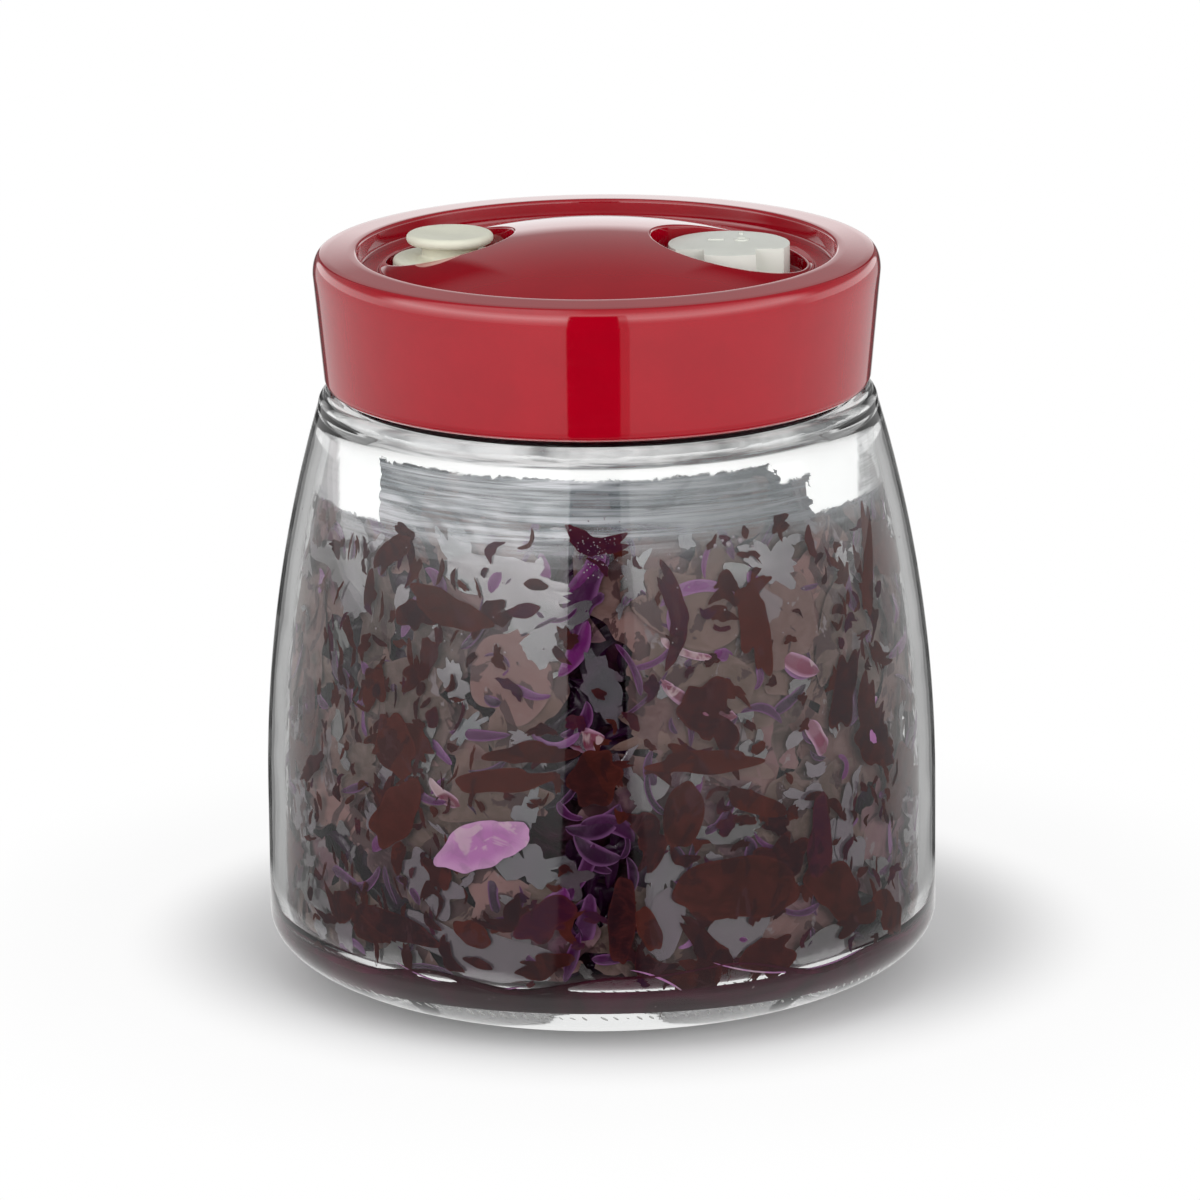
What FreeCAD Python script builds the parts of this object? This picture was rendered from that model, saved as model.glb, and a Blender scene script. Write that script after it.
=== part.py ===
import FreeCAD, Part
import math
import os

# Fermentation jar: a barrel-shaped glass jar packed with shredded red cabbage over a little
# brine, closed by a deep red plastic lid.  The lid's domed middle holds two wells: one with a
# soft mushroom-shaped vent button, one with a white notched valve knob.
# Millimetres.  +Z is up, and the origin is the middle of the jar's foot on the table.

# ---- glass jar: outside ------------------------------------------------------------------
BODY_RADIUS = 67.5          # straight band round the widest part
BODY_WIDEST_TOP = 38.0      # the band ends here and the barrel starts to draw in
SHOULDER_HEIGHT = 117.4     # where the barrel's curve turns over into the shoulder
SHOULDER_WIDTH = 4.4        # how far the shoulder stands out from the neck
SHOULDER_ROUND = 2.6        # radius of that turn
HEEL_REACH = 30.6           # how far the rounded heel runs in under the body
HEEL_RISE = 13.3            # how high the rounded heel climbs
FOOT_RING_WIDTH = 6.0       # flat ring that the jar stands on
PUSH_UP = 1.2               # hollow inside that ring
# ---- glass jar: neck and inside ----------------------------------------------------------
NECK_RADIUS = 51.5
NECK_HEIGHT = 28.6          # from the shoulder's turn to the rim
NECK_WALL = 2.4
NECK_COVE = 1.0             # hollow curve where the neck meets the shoulder
WALL = 3.2
FLOOR_THICKNESS = 6.2
# ---- lid: skirt, ring and gutter ---------------------------------------------------------
NECK_PLAY = 0.4             # play on both sides of the neck: skirt outside, plug inside
SKIRT_WALL = 2.7            # at the lower edge
SKIRT_FLARE = 1.9           # the skirt is this much wider under its top corner
LID_HEIGHT = 26.8           # lower edge of the skirt to the top of the ring
LID_BOTTOM_ROUND = 2.2
LID_TOP_CORNER = 3.8        # height of the soft corner round the top
LID_CORNER_REACH = 1.6
RING_THICKNESS = 1.8        # of the ring over the jar's rim
RING_RISE = 0.4             # the ring climbs a little towards its inner lip
PLUG_WALL = 1.1             # between the plug's outside and the gutter
LIP_ROUND = 0.7
GUTTER_DEPTH = 3.9          # groove between the ring and the dome
GUTTER_WIDTH = 4.3
GUTTER_ROUND = 1.2
LID_WALL = 2.0
# ---- lid: dome and the two wells in it ---------------------------------------------------
DOME_RADIUS = 128.0         # radius of curvature of the domed middle
DOME_RISE = 4.4             # crown of the dome over the ring's outer edge
VALVE_LINE_TURN = -7.0      # the line through both wells, degrees off the X axis
BUTTON_WELL_MARGIN = 1.1    # between a well and the gutter
KNOB_WELL_MARGIN = 1.3
BUTTON_WELL_GAP = 1.4       # free ring round the button's foot
KNOB_WELL_GAP = 3.45        # room for fingertips round the knob
WELL_DEPTH = 5.3            # floor of both wells under the ring's outer edge
WELL_EDGE_ROUND = 0.5
# ---- vent button -------------------------------------------------------------------------
BUTTON_FOOT_RADIUS = 11.4
BUTTON_FOOT_HEIGHT = 3.6
BUTTON_NECK_RADIUS = 5.6
BUTTON_HEAD_RADIUS = 8.7
BUTTON_HEAD_THICK = 2.1
BUTTON_HEIGHT = 8.4
BUTTON_DISH = 0.45          # hollow in the top of its head
BUTTON_RING_WIDTH = 0.6     # flat ring left round that hollow
# ---- valve knob --------------------------------------------------------------------------
KNOB_RADIUS = 12.05
KNOB_HEIGHT = 7.0
KNOB_EDGE_ROUND = 0.6
TONGUE_WIDTH = 10.2         # left standing between the two finger notches
NOTCH_BACK = 5.6            # the notches' back wall, ahead of the knob's middle
NOTCH_FLOOR = 1.6           # the notches stop this far above the knob's underside
MARK_HEIGHT = 0.25
# ---- contents ----------------------------------------------------------------------------
GLASS_PLAY = 0.15           # between the contents and the glass
BRINE_DEPTH = 7.0           # clear brine under the pressed cabbage
CABBAGE_DROP = 12.9         # mean level of the cabbage under the shoulder
CABBAGE_BUMP = 2.6          # how far the cabbage's top strays from that level
# ---- what follows from those -------------------------------------------------------------
SHOULDER_RADIUS = NECK_RADIUS + SHOULDER_WIDTH
RIM_HEIGHT = SHOULDER_HEIGHT + NECK_HEIGHT
LID_TOP = RIM_HEIGHT + RING_THICKNESS
LID_BOTTOM = LID_TOP - LID_HEIGHT
SKIRT_BORE = NECK_RADIUS + NECK_PLAY
LID_BOTTOM_RADIUS = SKIRT_BORE + SKIRT_WALL
LID_RADIUS = LID_BOTTOM_RADIUS + SKIRT_FLARE
PLUG_RADIUS = NECK_RADIUS - NECK_WALL - NECK_PLAY
RING_INNER_RADIUS = PLUG_RADIUS - PLUG_WALL
DOME_EDGE_RADIUS = RING_INNER_RADIUS - GUTTER_WIDTH
DOME_CROWN = LID_TOP + DOME_RISE
WELL_FLOOR = LID_TOP - WELL_DEPTH
CABBAGE_TOP = SHOULDER_HEIGHT - CABBAGE_DROP
BRINE_LEVEL = FLOOR_THICKNESS + BRINE_DEPTH

Z = FreeCAD.Vector(0, 0, 1)


def at(r, z):
    """A point of a turned outline: r out from the axis, z up."""
    return FreeCAD.Vector(r, 0, z)


def line(p, q):
    return Part.LineSegment(p, q).toShape()


def arc(p, middle, q):
    return Part.Arc(p, middle, q).toShape()


def quarter(centre, start_deg, radius, rise=None):
    """A quarter turn of a circle or, with a rise, of an ellipse, about a centre in the XZ plane."""
    rise = radius if rise is None else rise
    points = []
    for i in range(3):
        a = math.radians(start_deg + 45 * i)
        points.append(centre + at(radius * math.cos(a), rise * math.sin(a)))
    if abs(rise - radius) < 1e-9:
        return arc(*points)
    ellipse = Part.Ellipse(centre + at(radius, 0), centre + at(0, rise), centre)
    return Part.ArcOfEllipse(ellipse, ellipse.parameter(points[0]), ellipse.parameter(points[2])).toShape()


def turn(edges):
    """The solid swept by a closed outline about the Z axis."""
    wire = Part.Wire(Part.__sortEdges__(edges))
    return Part.Face(wire).revolve(FreeCAD.Vector(), Z, 360)


def cylinder(radius, bottom, top, x=0.0, y=0.0):
    return Part.makeCylinder(radius, top - bottom, FreeCAD.Vector(x, y, bottom))


def barrel_radius(z, inset=0.0):
    """Radius of the barrel, less an inset, at a height between the band and the shoulder."""
    rise, draw = SHOULDER_HEIGHT - BODY_WIDEST_TOP, BODY_RADIUS - SHOULDER_RADIUS
    curve = (rise ** 2 + draw ** 2) / (2 * draw)
    return BODY_RADIUS - curve + math.sqrt((curve - inset) ** 2 - (z - BODY_WIDEST_TOP) ** 2)


# ---- glass -------------------------------------------------------------------------------
def side_outline(inset, floor, top):
    """Heel, straight band and barrel, drawn in by an inset, from the floor to a height."""
    r_body = BODY_RADIUS - inset
    heel_reach, heel_rise = HEEL_REACH - inset, HEEL_RISE - inset
    foot = at(r_body - heel_reach, floor)
    band = at(r_body, floor + heel_rise)
    widest = at(r_body, BODY_WIDEST_TOP)
    middle = (BODY_WIDEST_TOP + top) / 2
    ellipse_centre = at(r_body - heel_reach, floor + heel_rise)
    return [line(at(0, floor), foot),
            quarter(ellipse_centre, -90, heel_reach, heel_rise),
            line(band, widest),
            arc(widest, at(barrel_radius(middle, inset), middle), at(barrel_radius(top, inset), top))]


def glass_outside():
    """The jar's outer skin as a closed solid, foot to rim."""
    over = at(SHOULDER_RADIUS - SHOULDER_ROUND, SHOULDER_HEIGHT + SHOULDER_ROUND)
    cove = over.z + NECK_COVE
    edges = side_outline(0.0, 0.0, SHOULDER_HEIGHT)
    edges += [quarter(at(over.x, SHOULDER_HEIGHT), 0, SHOULDER_ROUND),
              line(over, at(NECK_RADIUS + NECK_COVE, over.z)),
              quarter(at(NECK_RADIUS + NECK_COVE, cove), -180, NECK_COVE),
              line(at(NECK_RADIUS, cove), at(NECK_RADIUS, RIM_HEIGHT)),
              line(at(NECK_RADIUS, RIM_HEIGHT), at(0, RIM_HEIGHT)),
              line(at(0, RIM_HEIGHT), at(0, 0))]
    return turn(edges)


def glass_inside(play=0.0):
    """The room inside the glass, less some play all round."""
    inset = WALL + play
    floor = FLOOR_THICKNESS + play
    r_mouth = NECK_RADIUS - NECK_WALL - play
    turn_in = SHOULDER_HEIGHT - WALL
    r_turn = barrel_radius(turn_in, inset)
    throat = turn_in + (r_turn - r_mouth)
    edges = side_outline(inset, floor, turn_in)
    edges += [line(at(r_turn, turn_in), at(r_mouth, throat)),
              line(at(r_mouth, throat), at(r_mouth, RIM_HEIGHT + 1)),
              line(at(r_mouth, RIM_HEIGHT + 1), at(0, RIM_HEIGHT + 1)),
              line(at(0, RIM_HEIGHT + 1), at(0, floor))]
    return turn(edges)


def make_jar():
    push_up_radius = BODY_RADIUS - HEEL_REACH - FOOT_RING_WIDTH
    jar = glass_outside().cut(glass_inside())
    return jar.cut(Part.makeCone(push_up_radius, push_up_radius - PUSH_UP, PUSH_UP))


# ---- lid ---------------------------------------------------------------------------------
def dome_height(r, sink=0.0):
    return DOME_CROWN - DOME_RADIUS + math.sqrt((DOME_RADIUS - sink) ** 2 - r ** 2)


def well_places():
    """Centre x, y and radius of the button's well and of the knob's well."""
    places = []
    for side, radius, margin in ((-1, BUTTON_FOOT_RADIUS + BUTTON_WELL_GAP, BUTTON_WELL_MARGIN),
                                 (1, KNOB_RADIUS + KNOB_WELL_GAP, KNOB_WELL_MARGIN)):
        a, out = math.radians(VALVE_LINE_TURN), side * (DOME_EDGE_RADIUS - margin - radius)
        places.append((out * math.cos(a), out * math.sin(a), radius))
    return places


def lid_shell():
    """Skirt, soft top corner, flat ring, gutter and dome, turned as one shell."""
    gutter_floor = LID_TOP - GUTTER_DEPTH
    under = gutter_floor - LID_WALL
    corner = at(LID_RADIUS, LID_TOP - LID_TOP_CORNER)
    corner_mid = at(LID_RADIUS - 0.3 * LID_CORNER_REACH, LID_TOP - 0.42 * LID_TOP_CORNER)
    ring_edge = at(LID_RADIUS - LID_CORNER_REACH, LID_TOP)
    low_centre = at(LID_BOTTOM_RADIUS - LID_BOTTOM_ROUND, LID_BOTTOM + LID_BOTTOM_ROUND)
    lip_centre = at(RING_INNER_RADIUS + LIP_ROUND, LID_TOP + RING_RISE - LIP_ROUND)
    root_centre = at(RING_INNER_RADIUS - GUTTER_ROUND, gutter_floor + GUTTER_ROUND)
    dome_edge = at(DOME_EDGE_RADIUS, dome_height(DOME_EDGE_RADIUS))
    inner = DOME_EDGE_RADIUS - LID_WALL
    inner_edge = at(inner, dome_height(inner, LID_WALL))
    inner_crown = at(0, DOME_CROWN - LID_WALL)
    return turn([
        line(at(SKIRT_BORE, LID_BOTTOM), at(low_centre.x, LID_BOTTOM)),
        quarter(low_centre, -90, LID_BOTTOM_ROUND),
        line(at(LID_BOTTOM_RADIUS, low_centre.z), corner),
        arc(corner, corner_mid, ring_edge),
        line(ring_edge, at(lip_centre.x, lip_centre.z + LIP_ROUND)),
        quarter(lip_centre, 90, LIP_ROUND),
        line(at(RING_INNER_RADIUS, lip_centre.z), at(RING_INNER_RADIUS, root_centre.z)),
        quarter(root_centre, -90, GUTTER_ROUND),
        line(at(root_centre.x, gutter_floor), at(DOME_EDGE_RADIUS, gutter_floor)),
        line(at(DOME_EDGE_RADIUS, gutter_floor), dome_edge),
        arc(dome_edge, at(DOME_EDGE_RADIUS / 2, dome_height(DOME_EDGE_RADIUS / 2)), at(0, DOME_CROWN)),
        line(at(0, DOME_CROWN), inner_crown),
        arc(inner_crown, at(inner / 2, dome_height(inner / 2, LID_WALL)), inner_edge),
        line(inner_edge, at(inner, under)),
        line(at(inner, under), at(PLUG_RADIUS, under)),
        line(at(PLUG_RADIUS, under), at(PLUG_RADIUS, RIM_HEIGHT)),
        line(at(PLUG_RADIUS, RIM_HEIGHT), at(SKIRT_BORE, RIM_HEIGHT)),
        line(at(SKIRT_BORE, RIM_HEIGHT), at(SKIRT_BORE, LID_BOTTOM)),
    ])


def under_dome():
    """Everything under the dome and inside the gutter, which trims the wells' cups."""
    low = WELL_FLOOR - 2 * LID_WALL
    dome_edge = at(DOME_EDGE_RADIUS, dome_height(DOME_EDGE_RADIUS))
    return turn([
        line(at(0, low), at(DOME_EDGE_RADIUS, low)),
        line(at(DOME_EDGE_RADIUS, low), dome_edge),
        arc(dome_edge, at(DOME_EDGE_RADIUS / 2, dome_height(DOME_EDGE_RADIUS / 2)), at(0, DOME_CROWN)),
        line(at(0, DOME_CROWN), at(0, low)),
    ])


def on_well_edge(edge):
    """Whether an edge is where one of the wells breaks out through the dome."""
    middle = edge.valueAt((edge.FirstParameter + edge.LastParameter) / 2)
    return middle.z > WELL_FLOOR + 1 and any(
        abs(math.hypot(middle.x - x, middle.y - y) - radius) < 0.01 and edge.Length > radius
        for x, y, radius in well_places())


def make_lid():
    lid, room = lid_shell(), under_dome()
    for x, y, radius in well_places():
        cup = cylinder(radius + LID_WALL, WELL_FLOOR - LID_WALL, DOME_CROWN, x, y)
        lid = lid.fuse(cup.common(room))
    for x, y, radius in well_places():
        lid = lid.cut(cylinder(radius, WELL_FLOOR, DOME_CROWN + 1, x, y))
    lid = lid.removeSplitter()
    return lid.makeFillet(WELL_EDGE_ROUND, [e for e in lid.Edges if on_well_edge(e)])


# ---- valves ------------------------------------------------------------------------------
def make_vent_button():
    """A soft mushroom: wide foot, narrow neck, thick rounded head with a shallow dish."""
    head_round = BUTTON_HEAD_THICK / 2
    head_low = BUTTON_HEIGHT - BUTTON_HEAD_THICK
    foot_round = 0.8
    foot_flat = BUTTON_FOOT_RADIUS - foot_round
    head_flat = BUTTON_HEAD_RADIUS - head_round
    dish = head_flat - BUTTON_RING_WIDTH
    bowl = (dish ** 2 + BUTTON_DISH ** 2) / (2 * BUTTON_DISH)
    bowl_centre = BUTTON_HEIGHT - BUTTON_DISH + bowl
    button = turn([
        line(at(0, 0), at(BUTTON_FOOT_RADIUS, 0)),
        line(at(BUTTON_FOOT_RADIUS, 0), at(BUTTON_FOOT_RADIUS, BUTTON_FOOT_HEIGHT - foot_round)),
        quarter(at(foot_flat, BUTTON_FOOT_HEIGHT - foot_round), 0, foot_round),
        line(at(foot_flat, BUTTON_FOOT_HEIGHT), at(BUTTON_NECK_RADIUS, BUTTON_FOOT_HEIGHT)),
        line(at(BUTTON_NECK_RADIUS, BUTTON_FOOT_HEIGHT), at(BUTTON_NECK_RADIUS, head_low)),
        line(at(BUTTON_NECK_RADIUS, head_low), at(head_flat, head_low)),
        quarter(at(head_flat, head_low + head_round), -90, head_round),
        quarter(at(head_flat, head_low + head_round), 0, head_round),
        line(at(head_flat, BUTTON_HEIGHT), at(dish, BUTTON_HEIGHT)),
        arc(at(dish, BUTTON_HEIGHT), at(dish / 2, bowl_centre - math.sqrt(bowl ** 2 - dish ** 2 / 4)),
            at(0, bowl_centre - bowl)),
        line(at(0, BUTTON_HEIGHT - BUTTON_DISH), at(0, 0)),
    ])
    x, y, _ = well_places()[0]
    return button.translated(FreeCAD.Vector(x, y, WELL_FLOOR))


def make_valve_knob():
    """A round knob with two square finger notches in front and plain raised marks on top."""
    edge = KNOB_RADIUS - KNOB_EDGE_ROUND
    knob = turn([
        line(at(0, 0), at(KNOB_RADIUS, 0)),
        line(at(KNOB_RADIUS, 0), at(KNOB_RADIUS, KNOB_HEIGHT - KNOB_EDGE_ROUND)),
        quarter(at(edge, KNOB_HEIGHT - KNOB_EDGE_ROUND), 0, KNOB_EDGE_ROUND),
        line(at(edge, KNOB_HEIGHT), at(0, KNOB_HEIGHT)),
        line(at(0, KNOB_HEIGHT), at(0, 0)),
    ])
    for side in (-1, 1):
        notch = Part.makeBox(KNOB_RADIUS, KNOB_RADIUS, KNOB_HEIGHT)
        left = TONGUE_WIDTH / 2 if side > 0 else -TONGUE_WIDTH / 2 - KNOB_RADIUS
        knob = knob.cut(notch.translated(
            FreeCAD.Vector(left, -NOTCH_BACK - KNOB_RADIUS, NOTCH_FLOOR)))
    ring = cylinder(1.5, KNOB_HEIGHT, KNOB_HEIGHT + MARK_HEIGHT, 2.6, 3.4).cut(
        cylinder(1.0, KNOB_HEIGHT, KNOB_HEIGHT + MARK_HEIGHT, 2.6, 3.4))
    bar = Part.makeBox(3.2, 0.6, MARK_HEIGHT, FreeCAD.Vector(-4.2, 3.1, KNOB_HEIGHT))
    tick = Part.makeBox(0.8, 2.2, MARK_HEIGHT, FreeCAD.Vector(2.2, edge - 3.0, KNOB_HEIGHT))
    knob = knob.fuse([ring, bar, tick]).removeSplitter()
    x, y, _ = well_places()[1]
    return knob.translated(FreeCAD.Vector(x, y, WELL_FLOOR))


# ---- contents ----------------------------------------------------------------------------
def cabbage_level(x, y):
    """Height of the cabbage's uneven top over a place in the jar."""
    waves = (math.sin(0.105 * x + 0.6) * math.cos(0.083 * y - 0.4)
             + 0.6 * math.sin(0.061 * x - 0.142 * y + 1.9)
             + 0.35 * math.cos(0.19 * x + 0.11 * y))
    return CABBAGE_TOP + CABBAGE_BUMP * waves / 1.95


def under_cabbage_top():
    """A block that ends upwards in the cabbage's uneven top."""
    half, steps = BODY_RADIUS + 4, 13
    grid = []
    for i in range(steps):
        x = -half + 2 * half * i / (steps - 1)
        row = []
        for j in range(steps):
            y = -half + 2 * half * j / (steps - 1)
            row.append(FreeCAD.Vector(x, y, cabbage_level(x, y)))
        grid.append(row)
    top = Part.BSplineSurface()
    top.interpolate(grid)
    return top.toShape().extrude(FreeCAD.Vector(0, 0, -2 * CABBAGE_TOP))


def make_brine():
    room = glass_inside(GLASS_PLAY)
    return room.common(cylinder(BODY_RADIUS, 0, BRINE_LEVEL))


def make_cabbage():
    room = glass_inside(GLASS_PLAY)
    above = room.common(cylinder(BODY_RADIUS, BRINE_LEVEL, SHOULDER_HEIGHT))
    return above.common(under_cabbage_top())


PARTS = {
    "jar": make_jar,
    "lid": make_lid,
    "vent_button": make_vent_button,
    "valve_knob": make_valve_knob,
    "cabbage": make_cabbage,
    "brine": make_brine,
}

os.makedirs("parts", exist_ok=True)
for name, make in PARTS.items():
    shape = make()
    if len(shape.Solids) == 1:
        shape = shape.Solids[0]
    shape.exportStep("parts/" + name + ".step")
    box = shape.BoundBox
    print("%-12s solids %d valid %s volume %.1f cm3, z %.1f to %.1f" % (
        name, len(shape.Solids), shape.isValid(), shape.Volume / 1000, box.ZMin, box.ZMax))
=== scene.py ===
# %% [markdown]
# # A fermentation jar of red cabbage
# This file is a lesson in cells. It dresses a jar that was first built as plain solids: a clear
# glass barrel, a deep red lid with two little valves in its dome, shredded red cabbage and a
# little brine. The solids give every place and size, so the first cell loads them and keeps
# their box, and each later cell makes one piece or one finish on top of them.

import math

import bpy
import numpy as np
from mathutils import Matrix, Vector


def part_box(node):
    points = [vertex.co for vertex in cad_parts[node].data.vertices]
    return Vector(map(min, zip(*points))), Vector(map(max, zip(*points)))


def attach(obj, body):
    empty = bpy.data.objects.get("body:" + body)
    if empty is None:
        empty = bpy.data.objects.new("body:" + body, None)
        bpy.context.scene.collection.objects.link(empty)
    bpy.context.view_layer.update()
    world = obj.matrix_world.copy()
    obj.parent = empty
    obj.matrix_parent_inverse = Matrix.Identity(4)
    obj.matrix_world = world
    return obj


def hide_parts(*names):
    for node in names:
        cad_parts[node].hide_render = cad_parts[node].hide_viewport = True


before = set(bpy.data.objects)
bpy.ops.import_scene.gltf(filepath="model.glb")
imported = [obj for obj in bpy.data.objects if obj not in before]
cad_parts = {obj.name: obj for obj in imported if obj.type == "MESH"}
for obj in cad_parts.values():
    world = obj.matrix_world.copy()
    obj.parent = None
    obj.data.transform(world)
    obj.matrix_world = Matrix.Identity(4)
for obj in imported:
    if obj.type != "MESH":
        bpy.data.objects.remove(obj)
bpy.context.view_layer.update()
MM = 0.001


# %% [markdown]
# ## The camera
# A long lens from one and a half metres keeps the round lid from looking stretched; a short lens
# close by would show more of the lid's top and swell the front of the barrel. The camera looks
# down on the jar by less than fifteen degrees, so the lid's top shows as a flat oval. It is
# tilted by half a degree, as a hand-set tripod often is. It comes first, because every later
# choice is judged through it.

# %% Camera
CAMERA_DISTANCE = 1.5
CAMERA_PITCH = math.radians(14.66)
CAMERA_ROLL = math.radians(-0.58)
AIM_HEIGHT = 75.8 * MM
LENS, SENSOR = 223.65, 36.0
NEAREST, FARTHEST = 0.05, 50

camera_data = bpy.data.cameras.new("camera")
camera_data.lens, camera_data.sensor_width = LENS, SENSOR
camera_data.clip_start, camera_data.clip_end = NEAREST, FARTHEST
camera = bpy.data.objects.new("camera", camera_data)
bpy.context.scene.collection.objects.link(camera)
camera.matrix_world = (
    Matrix.Translation((0, -CAMERA_DISTANCE * math.cos(CAMERA_PITCH),
                        AIM_HEIGHT + CAMERA_DISTANCE * math.sin(CAMERA_PITCH)))
    @ Matrix.Rotation(math.pi / 2 - CAMERA_PITCH, 4, "X")
    @ Matrix.Rotation(CAMERA_ROLL, 4, "Z"))
scene = bpy.context.scene
scene.camera = camera
scene.view_settings.view_transform = "Standard"
print("camera at", [round(c, 3) for c in camera.matrix_world.translation])

# %% [markdown]
# ## Shader maths as plain Python
# A node tree is easier to read as an expression than as a tangle of wires. `Sock` wraps one
# socket, and Python's own signs add the Math nodes. Every other node comes from `Material.node`,
# which sets a node's choices first and then its sockets.

# %% A socket that can be reckoned with
class Sock:
    """One output socket. The usual signs add Math nodes to its tree."""

    def __init__(self, mat, socket):
        self.mat, self.socket = mat, socket

    def _math(self, operation, a, b=None):
        values = {0: a} if b is None else {0: a, 1: b}
        return self.mat.node("ShaderNodeMath", {"operation": operation}, values)

    def __add__(self, other): return self._math("ADD", self, other)
    def __radd__(self, other): return self._math("ADD", other, self)
    def __sub__(self, other): return self._math("SUBTRACT", self, other)
    def __rsub__(self, other): return self._math("SUBTRACT", other, self)
    def __mul__(self, other): return self._math("MULTIPLY", self, other)
    def __rmul__(self, other): return self._math("MULTIPLY", other, self)
    def __truediv__(self, other): return self._math("DIVIDE", self, other)
    def __neg__(self): return self._math("MULTIPLY", self, -1.0)
    def __gt__(self, other): return self._math("GREATER_THAN", self, other)
    def __abs__(self): return self._math("ABSOLUTE", self)

    def min(self, other): return self._math("MINIMUM", self, other)
    def max(self, other): return self._math("MAXIMUM", self, other)

    def between(self, low, high):
        """0 up to low, 1 from high on, and a soft step from one to the other."""
        return self.mat.node("ShaderNodeMapRange", {"interpolation_type": "SMOOTHSTEP"},
                             {"Value": self, "From Min": low, "From Max": high})


# %% A material that is written as expressions
class Material:
    """A material or world whose nodes are added by expressions."""

    def __init__(self, name, owner=None):
        self.data = owner or bpy.data.materials.new(name)
        self.data.use_nodes = True
        self.tree = self.data.node_tree
        self.tree.nodes.clear()

    def node(self, kind, settings=None, sockets=None, out=0):
        """Adds a node, sets its choices and then its sockets, and returns one of its outputs."""
        n = self.tree.nodes.new(kind)
        for key, value in (settings or {}).items():
            if key == "stops":
                ramp = n.color_ramp
                while len(ramp.elements) < len(value):
                    ramp.elements.new(1.0)
                for element, (place, colour) in zip(ramp.elements, value):
                    element.position, element.color = place, (*colour, 1.0)
            else:
                setattr(n, key, value)
        for key, value in (sockets or {}).items():
            if isinstance(value, Sock):
                self.tree.links.new(value.socket, n.inputs[key])
            else:
                n.inputs[key].default_value = value
        return Sock(self, n.outputs[out])

    def finish(self, shader, kind="ShaderNodeOutputMaterial"):
        n = self.tree.nodes.new(kind)
        self.tree.links.new(shader.socket, n.inputs["Surface"])
        return self.data

    # short names for the nodes that come back again and again
    def place(self): return self.node("ShaderNodeTexCoord", out="Object")

    def parts(self, vector):
        split = self.node("ShaderNodeSeparateXYZ", None, {0: vector}).socket.node
        return [Sock(self, split.outputs[i]) for i in range(3)]

    def noise(self, vector, scale, detail=3.0, rough=0.5, warp=0.0):
        return self.node("ShaderNodeTexNoise", None,
                         {"Vector": vector, "Scale": scale, "Detail": detail,
                          "Roughness": rough, "Distortion": warp}, "Fac")

    def streaks(self, vector, scale, detail=3.0, rough=0.5, warp=0.0):
        """Noise with its own scale along x, y and z, so that it can run in streaks."""
        longer = self.node("ShaderNodeMapping", None, {"Vector": vector, "Scale": scale})
        return self.noise(longer, 1.0, detail, rough, warp)

    def mix(self, factor, a, b):
        """Colour a where the factor is 0 and colour b where it is 1."""
        a, b = (c if isinstance(c, Sock) else (*c, 1.0) for c in (a, b))
        return self.node("ShaderNodeMix", {"data_type": "RGBA"}, {0: factor, 6: a, 7: b}, 2)

    def ramp(self, factor, stops):
        return self.node("ShaderNodeValToRGB", {"stops": stops}, {0: factor})

    def own(self, name):
        """A value that the mesh itself carries."""
        return self.node("ShaderNodeAttribute", {"attribute_name": name}, None, "Fac")

    def bump(self, height, strength, distance, under=None):
        sockets = {"Height": height, "Strength": strength, "Distance": distance}
        if under is not None:
            sockets["Normal"] = under
        return self.node("ShaderNodeBump", None, sockets)

    def glow(self, strength):
        return self.node("ShaderNodeEmission", None,
                         {"Color": (1, 1, 1, 1), "Strength": strength})

    def blend(self, factor, a, b):
        """Shader a where the factor is 0 and shader b where it is 1."""
        return self.node("ShaderNodeMixShader", None, {0: factor, 1: a, 2: b})

    def rays(self):
        """1 for a ray that has met a glossy face and no dull one, 1 for one that has met a dull
        face, and 1 for a ray that has just passed through glass."""
        path = self.node("ShaderNodeLightPath").socket.node
        bounced, scattered = (Sock(self, path.outputs[kind]) > 0.5
                              for kind in ("Glossy Depth", "Diffuse Depth"))
        return (bounced * (1 - scattered), scattered,
                Sock(self, path.outputs["Is Transmission Ray"]))

    def skin(self, **sockets):
        """A Principled shader. Spaces in its socket names are written as underscores."""
        return self.node("ShaderNodeBsdfPrincipled", None,
                         {key.replace("_", " "): value for key, value in sockets.items()})


# %% Colours
def srgb(red, green, blue):
    """A colour as it is read off a screen, turned into the light values that shaders use."""
    return tuple(c / 12.92 if c <= 0.04045 else ((c + 0.055) / 1.055) ** 2.4
                 for c in (red / 255, green / 255, blue / 255))


def greys(*stops):
    """Stops of a grey ramp, each written as its place and its brightness."""
    return [(place, (value,) * 3) for place, value in stops]


def tones(*stops):
    """Stops of a coloured ramp, each written as its place and its screen colour."""
    return [(place, srgb(*colour)) for place, *colour in stops]


def dimmed(colour, share):
    return tuple(min(1, c * share) for c in colour)


print("deep red as light values:", [round(c, 3) for c in srgb(166, 8, 27)])

# %% [markdown]
# ## The studio
# The jar stands on a pale table between two tall soft lamps, one at each side, with a dark gap
# between them behind the camera. Real lamp boxes in view of the glass would do, but they could
# not be tuned apart from the light that they give. So the lamps light the jar, and what the glass
# and the glossy lid mirror is painted on the sky and the table instead, for rays that have
# bounced off a glossy face: bright sides and the dark gap, which draws the one dark upright
# stripe that gives the round jar its shape. All other rays see plain white.

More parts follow.
